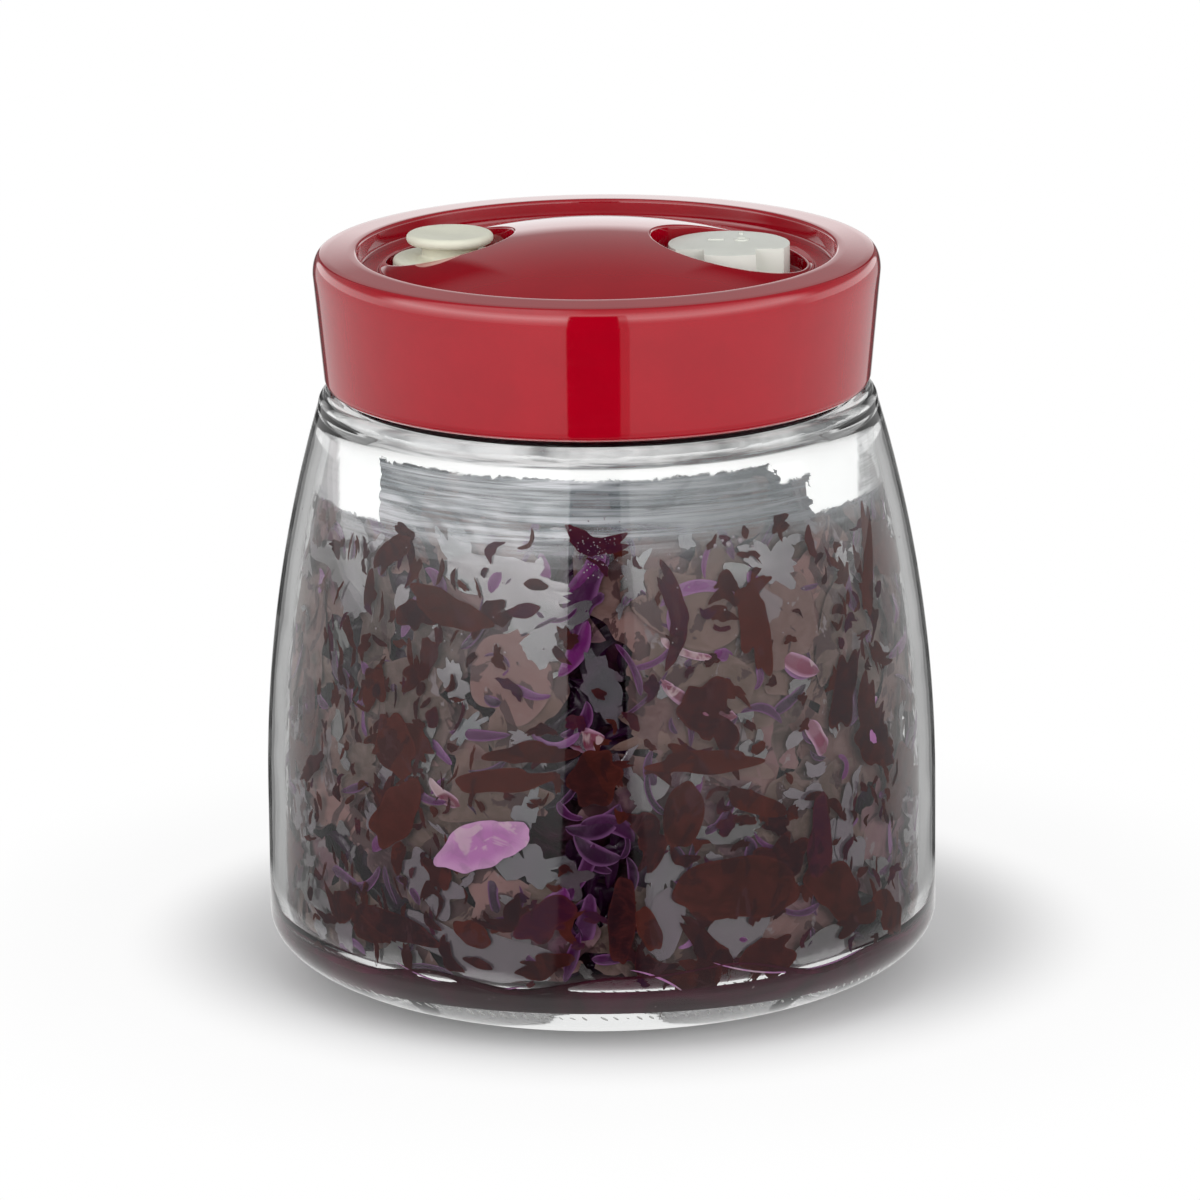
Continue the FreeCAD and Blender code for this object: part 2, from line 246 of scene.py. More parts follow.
# %% Two soft lamps
LAMP_POWER = 9.5
LAMP_SIZE = (1.2, 1.1)
LAMP_DISTANCE, LAMP_TURN, LAMP_HEIGHT = 1.15, math.radians(42), 0.62
for side, name in ((-1, "left_lamp"), (1, "right_lamp")):
    lamp_data = bpy.data.lights.new(name, "AREA")
    lamp_data.shape, (lamp_data.size, lamp_data.size_y) = "RECTANGLE", LAMP_SIZE
    lamp_data.energy = LAMP_POWER
    lamp = bpy.data.objects.new(name, lamp_data)
    scene.collection.objects.link(lamp)
    lamp.location = (side * LAMP_DISTANCE * math.sin(LAMP_TURN),
                     -LAMP_DISTANCE * math.cos(LAMP_TURN), LAMP_HEIGHT)
    to_jar = Vector((0, 0, AIM_HEIGHT)) - lamp.location
    lamp.rotation_euler = to_jar.to_track_quat("-Z", "Y").to_euler()
    lamp.visible_camera = lamp.visible_glossy = lamp.visible_transmission = False
print("lamps:", LAMP_POWER, "W each")

# %% What glossy faces mirror: lamps, gap and cards
# slopes of the edges, as seen from the jar: the dark gap's two sides, and a half-lit slit
# beside the right one
GAP_LEFT, GAP_RIGHT, SLIT = (math.tan(math.radians(a)) for a in (11.6, 8.4, 12.0))
SLIT_LIGHT = 0.5
CARD_INNER, CARD_OUTER = (math.tan(math.radians(a)) for a in (8, 19))
CARD_DARK = 0.85
CRISP, SOFT_INNER, SOFT_OUTER = 0.004, 0.03, 0.06


def mirrored_light(mat, x, y, reach=0.0):
    """How much light comes from a direction: none in the gap behind the camera, half in the slit
    beside it, and little from two dark cards that stand behind the jar and outline its edges."""
    ahead = -y
    right = (x - ahead * GAP_RIGHT).between(0.0, CRISP)
    past_slit = (x - ahead * SLIT).between(0.0, CRISP)
    left = (-x - ahead * GAP_LEFT).between(0.0, CRISP)
    behind = y.between(-0.02, 0.02)
    right = right * (SLIT_LIGHT + (1 - SLIT_LIGHT) * past_slit)
    lamps = (left + right).max(behind).min(1.0)
    slope = (abs(x) - reach) / y.max(0.001)
    cards = (slope.between(CARD_INNER, CARD_INNER + SOFT_INNER)
             * (1 - slope.between(CARD_OUTER, CARD_OUTER + SOFT_OUTER)))
    return lamps * (1 - CARD_DARK * behind * cards)


print("the dark gap is %.0f mm wide at one metre" % ((GAP_LEFT + GAP_RIGHT) / MM))

# %% The sky
# brightness by height, from the horizon at 0 to straight up at 1
FRONT_SKY = greys((0.0, 0.46), (0.10, 0.66), (0.3, 1.7), (0.5, 1.3), (0.75, 0.5), (1.0, 0.3))
LEFT_SKY = greys((0.0, 0.72), (0.10, 1.1), (0.3, 2.2), (0.6, 0.9))
BACK_SKY = greys((0.0, 1.0), (0.155, 0.98), (0.25, 0.27), (0.6, 0.14))
SKY_FILL = 0.42                              # what dull faces get from all round
sky = Material("sky", bpy.data.worlds.new("studio"))
scene.world = sky.data
x, y, z = sky.parts(sky.node("ShaderNodeTexCoord", out="Generated"))
front = sky.mix((-x).between(0.0, 0.25), sky.ramp(z, FRONT_SKY), sky.ramp(z, LEFT_SKY))
mirrored = sky.mix(y.between(-0.1, 0.25), front, sky.ramp(z, BACK_SKY))
lit = mirrored_light(sky, x, y).max(z.between(0.45, 0.6))      # the gap ends high up
mirrored = sky.mix(lit, (0.0,) * 3, mirrored)
mirroring, scattered, _ = sky.rays()
plain = sky.mix(scattered, (1.0,) * 3, (SKY_FILL,) * 3)
sky.finish(sky.node("ShaderNodeBackground", None,
                    {"Color": sky.mix(mirroring, plain, mirrored), "Strength": 1.0}),
           "ShaderNodeOutputWorld")
print("sky ready")

# %% [markdown]
# ## The table
# A broad sheet of pale paper, so wide that no edge of it shows. It must keep the soft shadow at
# the jar's foot and yet fade into white. A plane that only catches shadows would stay grey where
# the lamps fade, so the paper's own look goes over into plain white light past the shadow.
# Glossy faces see a darker table, or the lid's skirt and the heel of the glass would go pale.

# %% The table as a plane
FLOOR_HALF = 3.0


def pick(*pieces):
    """Selects these pieces alone, and makes the last one active."""
    bpy.ops.object.select_all(action="DESELECT")
    for piece in pieces:
        piece.select_set(True)
        bpy.context.view_layer.objects.active = piece


pick()
bpy.ops.mesh.primitive_plane_add(size=2 * FLOOR_HALF, location=(0, 0, 0))
floor = bpy.context.object
floor.name = "floor"
print("floor:", 2 * FLOOR_HALF, "m across")

# %% The table's look
PAPER = (0.93, 0.93, 0.935, 1)
# what glossy faces see of it: dim in front, brighter at the sides and far off, and bright under
# the jar, painted light that stands in for the light the glass throws onto it
NEAR_GLOW, SIDE_GLOW, FAR_GLOW, FOOT_GLOW = 0.28, 0.44, 0.48, 0.85
GLOW_NEAR, GLOW_FAR = 0.20, 0.42
SIDE_NEAR, SIDE_FAR = -0.12, 0.10
FOOT, CLOSE = 0.088, 0.118
JAR_REACH = 67.5 * MM
# the shadow's outline is painted: the paper gives way to white light round a point a little right
# of and behind the jar, so the soft shadow leans that way, and it is white again past its haze
SHADOW_RIGHT, SHADOW_BEHIND = 3 * MM, 17 * MM
CORE_IN, CORE_OUT, HAZE_IN, HAZE_OUT, HAZE_SHARE = 0.070, 0.104, 0.10, 0.16, 0.1
# seen through the glass of the foot it is painted nearly white: painted light under the jar
FOOT_IN, FOOT_OUT, FOOT_PAINTED_LIGHT = 0.060, 0.070, 0.8

table = Material("pale_table")
x, y, z = table.parts(table.place())
away = table.node("ShaderNodeVectorMath", {"operation": "LENGTH"}, {0: table.place()}, "Value")
mirroring, scattered, passed = table.rays()
paper = table.node("ShaderNodeBsdfDiffuse", None, {"Color": PAPER})
glow = NEAR_GLOW + (FAR_GLOW - NEAR_GLOW) * away.between(GLOW_NEAR, GLOW_FAR)
glow = glow.max(SIDE_GLOW * y.between(SIDE_NEAR, SIDE_FAR))
glow = glow * mirrored_light(table, x, y, JAR_REACH)
glow = glow.max(FOOT_GLOW * (1 - away.between(FOOT, CLOSE)))
# painted shadow outline: the distance from that point sets where the paper gives way to white
beside = table.node("ShaderNodeVectorMath", {"operation": "DISTANCE"},
                    {0: table.place(), 1: (SHADOW_RIGHT, SHADOW_BEHIND, 0)}, "Value")
far = (beside.between(CORE_IN, CORE_OUT) * (1 - HAZE_SHARE)
       + beside.between(HAZE_IN, HAZE_OUT) * HAZE_SHARE)
# painted light: rays through the glass see the table under the foot glow nearly white
painted_light_under_foot = passed * (1 - away.between(FOOT_IN, FOOT_OUT)) * FOOT_PAINTED_LIGHT
far = far.max(painted_light_under_foot) * (1 - scattered)
look = table.blend(far, paper, table.glow(1.0))
look = table.blend(mirroring, look, table.glow(glow))
floor.data.materials.append(table.finish(look))
print("floor ready")

# %% [markdown]
# ## Turning a piece
# Jar, lid, button and brine are all round, so each is made as a potter or a lathe makes it: half
# of its outline is drawn as a chain of corners, one extruded from the last, and the chain is
# spun once round an upright axis. A cylinder with inset and scaled rings would come close, but a
# drawn outline keeps every wall and rounding at its true size. The doubled corners at the seam
# and the poles are merged, and only then are the faces turned outwards.

# %% Outlines: quarter turns and straight runs
def quarter(x, z, start, reach, rise=None, steps=8):
    """Corners of a quarter turn about (x, z), anticlockwise from a start angle in degrees."""
    rise = reach if rise is None else rise
    turns = [math.radians(start + 90 * i / steps) for i in range(steps + 1)]
    return [(x + reach * math.cos(a), z + rise * math.sin(a)) for a in turns]


def backwards(points):
    return list(reversed(points))


def straight(start, end, steps):
    """Corners along a straight run, without its first one."""
    return [(start[0] + (end[0] - start[0]) * i / steps,
             start[1] + (end[1] - start[1]) * i / steps) for i in range(1, steps + 1)]


print("a quarter turn of 1:", [[round(c, 2) for c in p] for p in quarter(0, 0, 0, 1, steps=2)])

# %% The lathe, and what every piece is given at the end
STEPS, FINE_STEPS, SMALL_STEPS = 192, 256, 96
SAME_POINT = 0.003 * MM


def turned(name, outline, steps=STEPS, axis=(0.0, 0.0)):
    """Spins an outline of (radius, height) corners about an upright axis."""
    pick()
    bpy.ops.mesh.primitive_plane_add(size=MM, enter_editmode=True)
    bpy.ops.mesh.merge(type="CENTER")
    radius, height = outline[0]
    bpy.ops.transform.translate(value=(axis[0] + radius, axis[1], height))
    for (r0, z0), (r1, z1) in zip(outline, outline[1:]):
        bpy.ops.mesh.extrude_region_move(
            TRANSFORM_OT_translate={"value": (r1 - r0, 0, z1 - z0)})
    bpy.ops.mesh.select_all(action="SELECT")
    bpy.ops.mesh.spin(steps=steps, angle=2 * math.pi, center=(*axis, 0), axis=(0, 0, 1))
    bpy.ops.mesh.select_all(action="SELECT")
    bpy.ops.mesh.remove_doubles(threshold=SAME_POINT)
    bpy.ops.mesh.normals_make_consistent(inside=False)
    bpy.ops.object.mode_set(mode="OBJECT")
    piece = bpy.context.object
    piece.name = piece.data.name = name
    return piece


def smooth(piece, degrees):
    """Rounds the shading, apart from edges sharper than this."""
    pick(piece)
    bpy.ops.object.shade_smooth_by_angle(angle=math.radians(degrees))


def settle():
    """Puts the active piece's place, turn and size into its mesh."""
    bpy.ops.object.transform_apply(location=True, rotation=True, scale=True)


def cut_away(piece, cutter):
    """Cuts a tool out of a piece and throws the tool away."""
    pick(piece)
    cut = piece.modifiers.new("cut", "BOOLEAN")
    cut.operation, cut.object, cut.solver = "DIFFERENCE", cutter, "EXACT"
    bpy.ops.object.modifier_apply(modifier=cut.name)
    bpy.data.objects.remove(cutter)


def dress(piece, material, slot, *nodes):
    """Gives a finished piece its material and its body, and hides the solids that it stands for."""
    piece.data.materials.clear()
    piece.data.materials.append(material)
    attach(piece, "root")
    if nodes:
        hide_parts(*nodes)
    piece.data.calc_loop_triangles()
    print(f"{piece.name}: {len(piece.data.loop_triangles)} triangles")


print("lathe with", STEPS, "steps")

# %% [markdown]
# ## The glass jar
# The real jar is pressed and blown: a wide elliptical heel, a short straight band, a barrel that
# draws in, a small rounded shoulder and a plain neck that the lid hides. The wall is about three
# millimetres thick and the floor twice that. Solidify could thicken a single skin, but the real
# floor, shoulder and mouth each have a thickness of their own. So one outline runs up the outside
# and down the inside, and makes the closed shell that light must enter and leave.

# %% Sizes of the glass
_, jar_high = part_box("jar")
BODY, RIM = jar_high.x, jar_high.z
WIDEST_TOP, SHOULDER = 38.0 * MM, 117.4 * MM
SHOULDER_ROUND, NECK_COVE, RIM_ROUND = 2.6 * MM, 1.0 * MM, 1.0 * MM
HEEL_REACH, HEEL_RISE = 30.6 * MM, 13.3 * MM
PUSH_UP, PUSH_RADIUS = 1.2 * MM, 30.9 * MM
NECK, MOUTH = 51.5 * MM, 49.1 * MM
WALL, FLOOR_GLASS = 3.2 * MM, 6.2 * MM
SHOULDER_RADIUS = NECK + 4.4 * MM
_rise, _draw = SHOULDER - WIDEST_TOP, BODY - SHOULDER_RADIUS
BARREL_CURVE = (_rise ** 2 + _draw ** 2) / (2 * _draw)
TURN_IN = SHOULDER - WALL


def barrel(z, inset=0.0):
    """Radius of the drawn-in barrel at a height."""
    return BODY - BARREL_CURVE + math.sqrt((BARREL_CURVE - inset) ** 2 - (z - WIDEST_TOP) ** 2)


def flank(inset, floor_height, top, steps=26):
    """Heel, band and barrel, from the foot's edge up to a height."""
    reach, rise = HEEL_REACH - inset, HEEL_RISE - inset
    points = quarter(BODY - inset - reach, floor_height + rise, -90, reach, rise, 22)
    points += straight(points[-1], (BODY - inset, WIDEST_TOP), 6)
    heights = [WIDEST_TOP + (top - WIDEST_TOP) * i / steps for i in range(1, steps + 1)]
    return points + [(barrel(z, inset), z) for z in heights]


def inner_radius(z):
    """Radius of the room inside the glass at a height, heel to shoulder."""
    rise = HEEL_RISE - WALL
    low = FLOOR_GLASS + rise
    if z < low:
        part = min(1.0, max(0.0, (low - z) / rise))
        return BODY - HEEL_REACH + (HEEL_REACH - WALL) * math.sqrt(1 - part ** 2)
    return BODY - WALL if z < WIDEST_TOP else barrel(min(z, TURN_IN), WALL)


print("barrel's curve: %.1f mm, mouth %.1f mm" % (BARREL_CURVE / MM, MOUTH / MM))

# %% The outside of the glass, from the middle of the foot up to the rim
outline = [(0, PUSH_UP)] + straight((0, PUSH_UP), (PUSH_RADIUS - 2 * PUSH_UP, PUSH_UP), 4)
outline += [(PUSH_RADIUS - PUSH_UP, 0.8 * PUSH_UP),
            (PUSH_RADIUS - 0.3 * PUSH_UP, 0.2 * PUSH_UP), (PUSH_RADIUS, 0)]
outline += flank(0.0, 0.0, SHOULDER)
outline += quarter(SHOULDER_RADIUS - SHOULDER_ROUND, SHOULDER, 0, SHOULDER_ROUND)[1:]
cove_height = SHOULDER + SHOULDER_ROUND + NECK_COVE
outline += backwards(quarter(NECK + NECK_COVE, cove_height, -180, NECK_COVE, steps=5))
outline += straight((NECK, cove_height), (NECK, RIM - RIM_ROUND), 5)
outline += quarter(NECK - RIM_ROUND, RIM - RIM_ROUND, 0, RIM_ROUND, steps=5)[1:]
print("outside of the glass:", len(outline), "corners")

# %% The inside of the glass, from the rim down to the middle of the floor
inside = barrel(TURN_IN, WALL)
throat = TURN_IN + inside - MOUTH
outline += quarter(MOUTH + RIM_ROUND, RIM - RIM_ROUND, 90, RIM_ROUND, steps=5)
outline += straight((MOUTH, RIM - RIM_ROUND), (MOUTH, throat + MM), 5)
bend = (MOUTH + 0.6 * MM, throat - 0.4 * MM)
outline += [(MOUTH + 0.15 * MM, throat + 0.3 * MM), bend]
outline += straight(bend, (inside - 0.9 * MM, TURN_IN + 0.8 * MM), 4)
outline += [(inside - 0.25 * MM, TURN_IN + 0.1 * MM)]
outline += backwards(flank(WALL, FLOOR_GLASS, TURN_IN - MM))
outline += straight((BODY - HEEL_REACH, FLOOR_GLASS), (0, FLOOR_GLASS), 6)
print("both sides:", len(outline), "corners")
glass = turned("glass_jar", outline)
smooth(glass, 50)

# %% [markdown]
# ## Clear glass
# Real pressed glass is never quite flat inside: faint waves run round it, and they are what
# makes its edges shimmer. A Principled shader at full transmission bends and mirrors light; a
# see-through shader alone would lose the thick bright base and the dark outline. The lamps could
# not shine through bent light, as a path tracer finds lamps only by straight shadow rays, so
# those rays alone see the see-through shader instead.

# %% Glass finish
WAVES, WAVE_STRENGTH, WAVE_HEIGHT = (9.0, 9.0, 38.0), 0.22, 1.2 * MM
clear = Material("clear_glass")
waves = clear.streaks(clear.place(), WAVES, detail=2.0, rough=0.4)
waves = clear.bump(waves, strength=WAVE_STRENGTH, distance=WAVE_HEIGHT)
body = clear.skin(Base_Color=(0.985, 0.992, 0.988, 1), Roughness=0.0, IOR=1.5,
                  Transmission_Weight=1.0, Normal=waves)
through = clear.node("ShaderNodeBsdfTransparent", None, {"Color": (0.93, 0.935, 0.93, 1)})
shadow = clear.node("ShaderNodeLightPath", out="Is Shadow Ray")
dress(glass, clear.finish(clear.blend(shadow, body, through)), "clear_glass", "jar")

# %% [markdown]
# ## The lid
# A single moulding of glossy deep red plastic: a skirt that flares a little upwards, a soft
# corner, a flat ring, a groove and a low dome. All that is turned. The two round wells in the
# dome are off its axis, so the dome is opened there by a boolean, and each well is turned about
# its own axis, with its lip lifted onto the dome's curve. Cutting the wells whole out of a thick
# dome would be shorter, but it would leave their lips sharp.

# %% Sizes of the lid
lid_low, lid_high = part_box("lid")
LID_BOTTOM, LID_RADIUS, DOME_CROWN = lid_low.z, lid_high.y, lid_high.z
RING_TOP = RIM + 1.8 * MM
SKIRT_BORE = NECK + 0.4 * MM
LID_BOTTOM_RADIUS, LID_BOTTOM_ROUND = SKIRT_BORE + 2.7 * MM, 2.2 * MM
CORNER_DROP, CORNER_REACH = 3.8 * MM, 1.6 * MM
PLUG = MOUTH - 0.4 * MM
RING_INNER, RING_RISE, LIP_ROUND = PLUG - 1.1 * MM, 0.4 * MM, 0.7 * MM
GUTTER_DEPTH, GUTTER_ROUND = 3.9 * MM, 1.2 * MM
DOME_EDGE, DOME_CURVE, LID_WALL = RING_INNER - 4.3 * MM, 128 * MM, 2 * MM
DOME_FOOT, DOME_LIP = 0.45 * MM, 0.5 * MM
WELL_FLOOR, WELL_EDGE, WELL_CORNER = RING_TOP - 5.3 * MM, 0.5 * MM, 0.8 * MM
BUTTON_FOOT, KNOB = 11.4 * MM, 12.05 * MM
VALVE_LINE = math.radians(-7)
wells = []
for hand_side, well_radius, margin in ((-1, BUTTON_FOOT + 1.4 * MM, 1.1 * MM),
                                       (1, KNOB + 3.45 * MM, 1.3 * MM)):
    out = hand_side * (DOME_EDGE - margin - well_radius)
    wells.append((out * math.cos(VALVE_LINE), out * math.sin(VALVE_LINE), well_radius))


def dome(r, sink=0.0):
    """Height of the dome, or of the skin a little under it, at a distance from the axis."""
    return DOME_CROWN - DOME_CURVE + math.sqrt((DOME_CURVE - sink) ** 2 - r ** 2)


print("wells:", [[round(c / MM, 1) for c in well] for well in wells])

# %% The turned shell of the lid: skirt, corner and ring
low_x, low_z = LID_BOTTOM_RADIUS - LID_BOTTOM_ROUND, LID_BOTTOM + LID_BOTTOM_ROUND
corner_z, ring_x = RING_TOP - CORNER_DROP, LID_RADIUS - CORNER_REACH
lip_x, lip_z = RING_INNER + LIP_ROUND, RING_TOP + RING_RISE
outline = [(SKIRT_BORE, LID_BOTTOM)] + quarter(low_x, low_z, -90, LID_BOTTOM_ROUND)
outline += straight((LID_BOTTOM_RADIUS, low_z), (LID_RADIUS, corner_z), 8)
outline += quarter(ring_x, corner_z, 0, CORNER_REACH, CORNER_DROP, 10)[1:]
outline += straight((ring_x, RING_TOP), (lip_x, lip_z), 5)
outline += quarter(lip_x, lip_z - LIP_ROUND, 90, LIP_ROUND)[1:]
print("skirt, corner and ring:", len(outline), "corners")

# %% The turned shell of the lid: gutter, dome and inside
gutter_floor, gutter_x = RING_TOP - GUTTER_DEPTH, RING_INNER - GUTTER_ROUND
outline += backwards(quarter(gutter_x, gutter_floor + GUTTER_ROUND, -90, GUTTER_ROUND))
outline += straight((gutter_x, gutter_floor), (DOME_EDGE + 0.6 * MM, gutter_floor), 2)
outline += backwards(quarter(DOME_EDGE + DOME_FOOT, gutter_floor + DOME_FOOT, 180, DOME_FOOT,
                             steps=4))[1:]
outline += [(DOME_EDGE, dome(DOME_EDGE) - DOME_LIP)]
crown_x = DOME_EDGE - DOME_LIP
outline += quarter(crown_x, dome(crown_x) - DOME_LIP, 0, DOME_LIP, steps=5)[1:]
outline += [(r, dome(r)) for r in [crown_x * (1 - i / 34) for i in range(1, 35)]]
inner = DOME_EDGE - LID_WALL
outline += [(r, dome(r, LID_WALL)) for r in [inner * i / 12 for i in range(13)]]
outline += [(inner, gutter_floor - LID_WALL), (PLUG, gutter_floor - LID_WALL), (PLUG, RIM),
            (SKIRT_BORE, RIM), (SKIRT_BORE, LID_BOTTOM)]
print("whole lid:", len(outline), "corners")
lid = turned("red_lid", outline, FINE_STEPS)

# %% The two wells
CUTTER_HEIGHT, CUTTER_MIDDLE = 20 * MM, WELL_FLOOR + 8 * MM
HAIRLINE = 0.01 * MM


def open_dome(x, y, radius):
    """Cuts the dome open where a well goes."""
    pick()
    bpy.ops.mesh.primitive_cylinder_add(vertices=SMALL_STEPS, radius=radius + WELL_EDGE - HAIRLINE,
                                        depth=CUTTER_HEIGHT, location=(x, y, CUTTER_MIDDLE))
    cut_away(lid, bpy.context.object)


def well_cup(name, x, y, radius):
    """A round cup whose rounded lip follows the dome."""
    top, low, outer = DOME_CROWN, WELL_FLOOR, radius + WELL_EDGE
    foot, under = low + WELL_CORNER, low - 1.2 * MM
    points = [(0, low)] + straight((0, low), (radius - WELL_CORNER, low), 5)
    points += quarter(radius - WELL_CORNER, foot, -90, WELL_CORNER, steps=5)[1:]
    points += straight((radius, foot), (radius, top - WELL_EDGE), 3)
    points += backwards(quarter(outer, top - WELL_EDGE, 90, WELL_EDGE, steps=6))[1:]
    points += [(outer, top - 1.5 * MM), (outer, under), (0, under)]
    cup = turned(name, points, SMALL_STEPS, (x, y))
    for v in cup.data.vertices:
        if v.co.z > foot + HAIRLINE:
            share = (v.co.z - foot) / (top - foot)
            v.co.z += share * (dome(math.hypot(v.co.x, v.co.y)) - top)
    return cup


for number, (x, y, radius) in enumerate(wells):
    open_dome(x, y, radius)
    pick(well_cup(f"well_{number}", x, y, radius), lid)
    bpy.ops.object.join()
smooth(lid, 32)
print("lid with", len(wells), "wells")

# %% [markdown]
# ## Red plastic
# Injection-moulded ABS is dyed right through and polished, so nearly all of its life is in the
# shine. A plain glossy shader would do from afar. Close up, the skin is a little uneven and
# carries the faintest hairlines from wiping, so both are added, and kept so weak that the mirror
# images of the lamps only waver.

# %% Red plastic finish
RED = srgb(153, 1, 23)
CLOUD, SKIN_GRAIN, WIPES = 55.0, 900.0, (60.0, 60.0, 900.0)
red = Material("red_plastic")
place = red.place()
cloud = red.noise(place, CLOUD, detail=4.0, rough=0.6)
colour = red.mix(cloud.between(0.3, 0.7), dimmed(RED, 0.93), dimmed(RED, 1.05))
wiped = red.streaks(place, WIPES, detail=4.0, rough=0.65)
uneven = red.bump(cloud, strength=0.03, distance=0.5 * MM)
uneven = red.bump(red.noise(place, SKIN_GRAIN, detail=2.0), strength=0.03,
                  distance=0.05 * MM, under=uneven)
dress(lid, red.finish(red.skin(
    Base_Color=colour, Roughness=0.05 + 0.05 * wiped.between(0.45, 0.75), IOR=1.6,
    Coat_Weight=1.0, Coat_IOR=1.5, Coat_Roughness=0.03, Normal=uneven)), "red_plastic", "lid")

# %% [markdown]
# ## The vent button
# A soft silicone mushroom that closes the air hole: a wide foot, a short neck and a thick round
# head with a shallow dish. Stacked discs would need their joints rounded one by one, so it is
# turned in one go about the axis of its own well.

# %% Vent button
FOOT_HEIGHT, FOOT_ROUND, NECK_BUTTON = 3.6 * MM, 0.8 * MM, 5.6 * MM
HEAD, HEAD_THICK, BUTTON_HEIGHT, DISH = 8.7 * MM, 2.1 * MM, 8.4 * MM, 0.45 * MM
ROOT, UNDERCUT, DISH_EDGE = 0.7 * MM, 0.3 * MM, 0.6 * MM
x, y, _ = wells[0]
z, half = WELL_FLOOR, HEAD_THICK / 2
foot_top, head_top, head_low = z + FOOT_HEIGHT, z + BUTTON_HEIGHT, z + BUTTON_HEIGHT - HEAD_THICK
outline = [(0, z)] + straight((0, z), (BUTTON_FOOT, z), 3)
outline += straight((BUTTON_FOOT, z), (BUTTON_FOOT, foot_top - FOOT_ROUND), 3)
outline += quarter(BUTTON_FOOT - FOOT_ROUND, foot_top - FOOT_ROUND, 0, FOOT_ROUND, steps=6)[1:]
outline += straight((BUTTON_FOOT - FOOT_ROUND, foot_top), (NECK_BUTTON + ROOT, foot_top), 3)
outline += backwards(quarter(NECK_BUTTON + ROOT, foot_top + ROOT, 180, ROOT, steps=4))[1:]
outline += [(NECK_BUTTON, head_low - UNDERCUT), (NECK_BUTTON + UNDERCUT, head_low),
            (HEAD - half, head_low)]
for start in (-90, 0):
    outline += quarter(HEAD - half, head_top - half, start, half, steps=7)[1:]
dish_radius = HEAD - half - DISH_EDGE
outline += [(dish_radius * (1 - i / 8), head_top - DISH * (1 - (1 - i / 8) ** 2))
            for i in range(9)]
print("button:", len(outline), "corners")
button = turned("cream_vent_button", outline, SMALL_STEPS, (x, y))
smooth(button, 40)

# %% [markdown]
# ## Silicone and white plastic
# Soft silicone is a little cloudy and dull, with a fuzz of light at its edges; white ABS is
# harder and shinier. Two finishes written out would be the same but for their numbers, so one
# helper makes both.

# %% The helper, and the button's silicone
def moulded(name, tone, dim, clouds, grain, rough, relief, **looks):
    """A moulded finish: faint clouds in its tone, and a fine grain in its skin."""
    mould = Material(name)
    place = mould.place()
    fine = mould.noise(place, grain, detail=3.0, rough=0.6)
    cloudy = mould.noise(place, clouds, detail=3.0).between(0.35, 0.7)
    return mould.finish(mould.skin(
        Base_Color=mould.mix(cloudy, tone, dimmed(tone, dim)), Roughness=rough + 0.1 * fine,
        Normal=mould.bump(fine, strength=relief, distance=0.05 * MM), **looks))


dress(button, moulded("cream_silicone", srgb(226, 226, 208), dim=0.93, clouds=160.0, grain=700.0,
                      rough=0.42, relief=0.25, IOR=1.41, Sheen_Weight=0.08),
      "cream_silicone", "vent_button")

# %% [markdown]
# ## The valve knob
# A round white knob in the wider well. Two square notches in front leave a tongue for the
# fingertip. A turned outline can't have notches, so a cylinder is cut by two boxes, and one
# Bevel modifier rounds every edge, as the mould does. The marks on its top are plain raised
# shapes.

# %% Valve knob
KNOB_HEIGHT, KNOB_ROUND = 7.0 * MM, 0.55 * MM
TONGUE, NOTCH_BACK, NOTCH_FLOOR = 10.2 * MM, 5.6 * MM, 1.6 * MM
x, y, _ = wells[1]
pick()
bpy.ops.mesh.primitive_cylinder_add(vertices=128, radius=KNOB, depth=KNOB_HEIGHT,
                                    location=(x, y, WELL_FLOOR + KNOB_HEIGHT / 2))
knob = bpy.context.object
knob.name = knob.data.name = "white_valve_knob"
for hand_side in (-1, 1):
    pick()
    bpy.ops.mesh.primitive_cube_add(size=2 * KNOB, location=(
        x + hand_side * (TONGUE / 2 + KNOB), y - NOTCH_BACK - KNOB,
        WELL_FLOOR + NOTCH_FLOOR + KNOB))
    cut_away(knob, bpy.context.object)
settle()


def bevelled(piece, width, segments, angle=math.radians(30)):
    edges = piece.modifiers.new("edges", "BEVEL")
    edges.width, edges.segments, edges.angle_limit = width, segments, angle
    bpy.ops.object.modifier_apply(modifier=edges.name)


bevelled(knob, KNOB_ROUND, 4, math.radians(40))
print("knob:", len(knob.data.polygons), "faces")

# %% Marks on the knob
MARK, MARK_SINK, MARK_EDGE = 0.25 * MM, 0.1 * MM, 0.06 * MM
RING_HOLE, RING_EDGE, RING_EASE = 1.0 * MM, 1.5 * MM, 0.08 * MM
MARK_OUT, MARK_BACK, SLOT_BACK = 2.6 * MM, 3.4 * MM, 9.55 * MM
top = WELL_FLOOR + KNOB_HEIGHT
low, high = top - MARK_SINK, top + MARK
marks = [turned("ring_mark", [(RING_HOLE, low), (RING_EDGE, low), (RING_EDGE, high - MARK_EDGE),
                              (RING_EDGE - RING_EASE, high), (RING_HOLE + RING_EASE, high),
                              (RING_HOLE, high - MARK_EDGE), (RING_HOLE, low)],
                48, (x + MARK_OUT, y + MARK_BACK))]
for width, depth, mark_x, mark_y in ((3.2 * MM, 0.6 * MM, x - MARK_OUT, y + MARK_BACK),
                                     (0.8 * MM, 2.2 * MM, x + MARK_OUT, y + SLOT_BACK)):
    bpy.ops.mesh.primitive_cube_add(size=1, scale=(width, depth, MARK + MARK_SINK),
                                    location=(mark_x, mark_y, top + (MARK - MARK_SINK) / 2))
    settle()
    marks.append(bpy.context.object)
    bevelled(marks[-1], MARK_EDGE, 2)
pick(*marks, knob)
bpy.ops.object.join()
smooth(knob, 35)
dress(knob, moulded("white_plastic", srgb(222, 224, 216), dim=0.94, clouds=120.0, grain=800.0,
                    rough=0.3, relief=0.15, IOR=1.5), "white_plastic", "valve_knob")

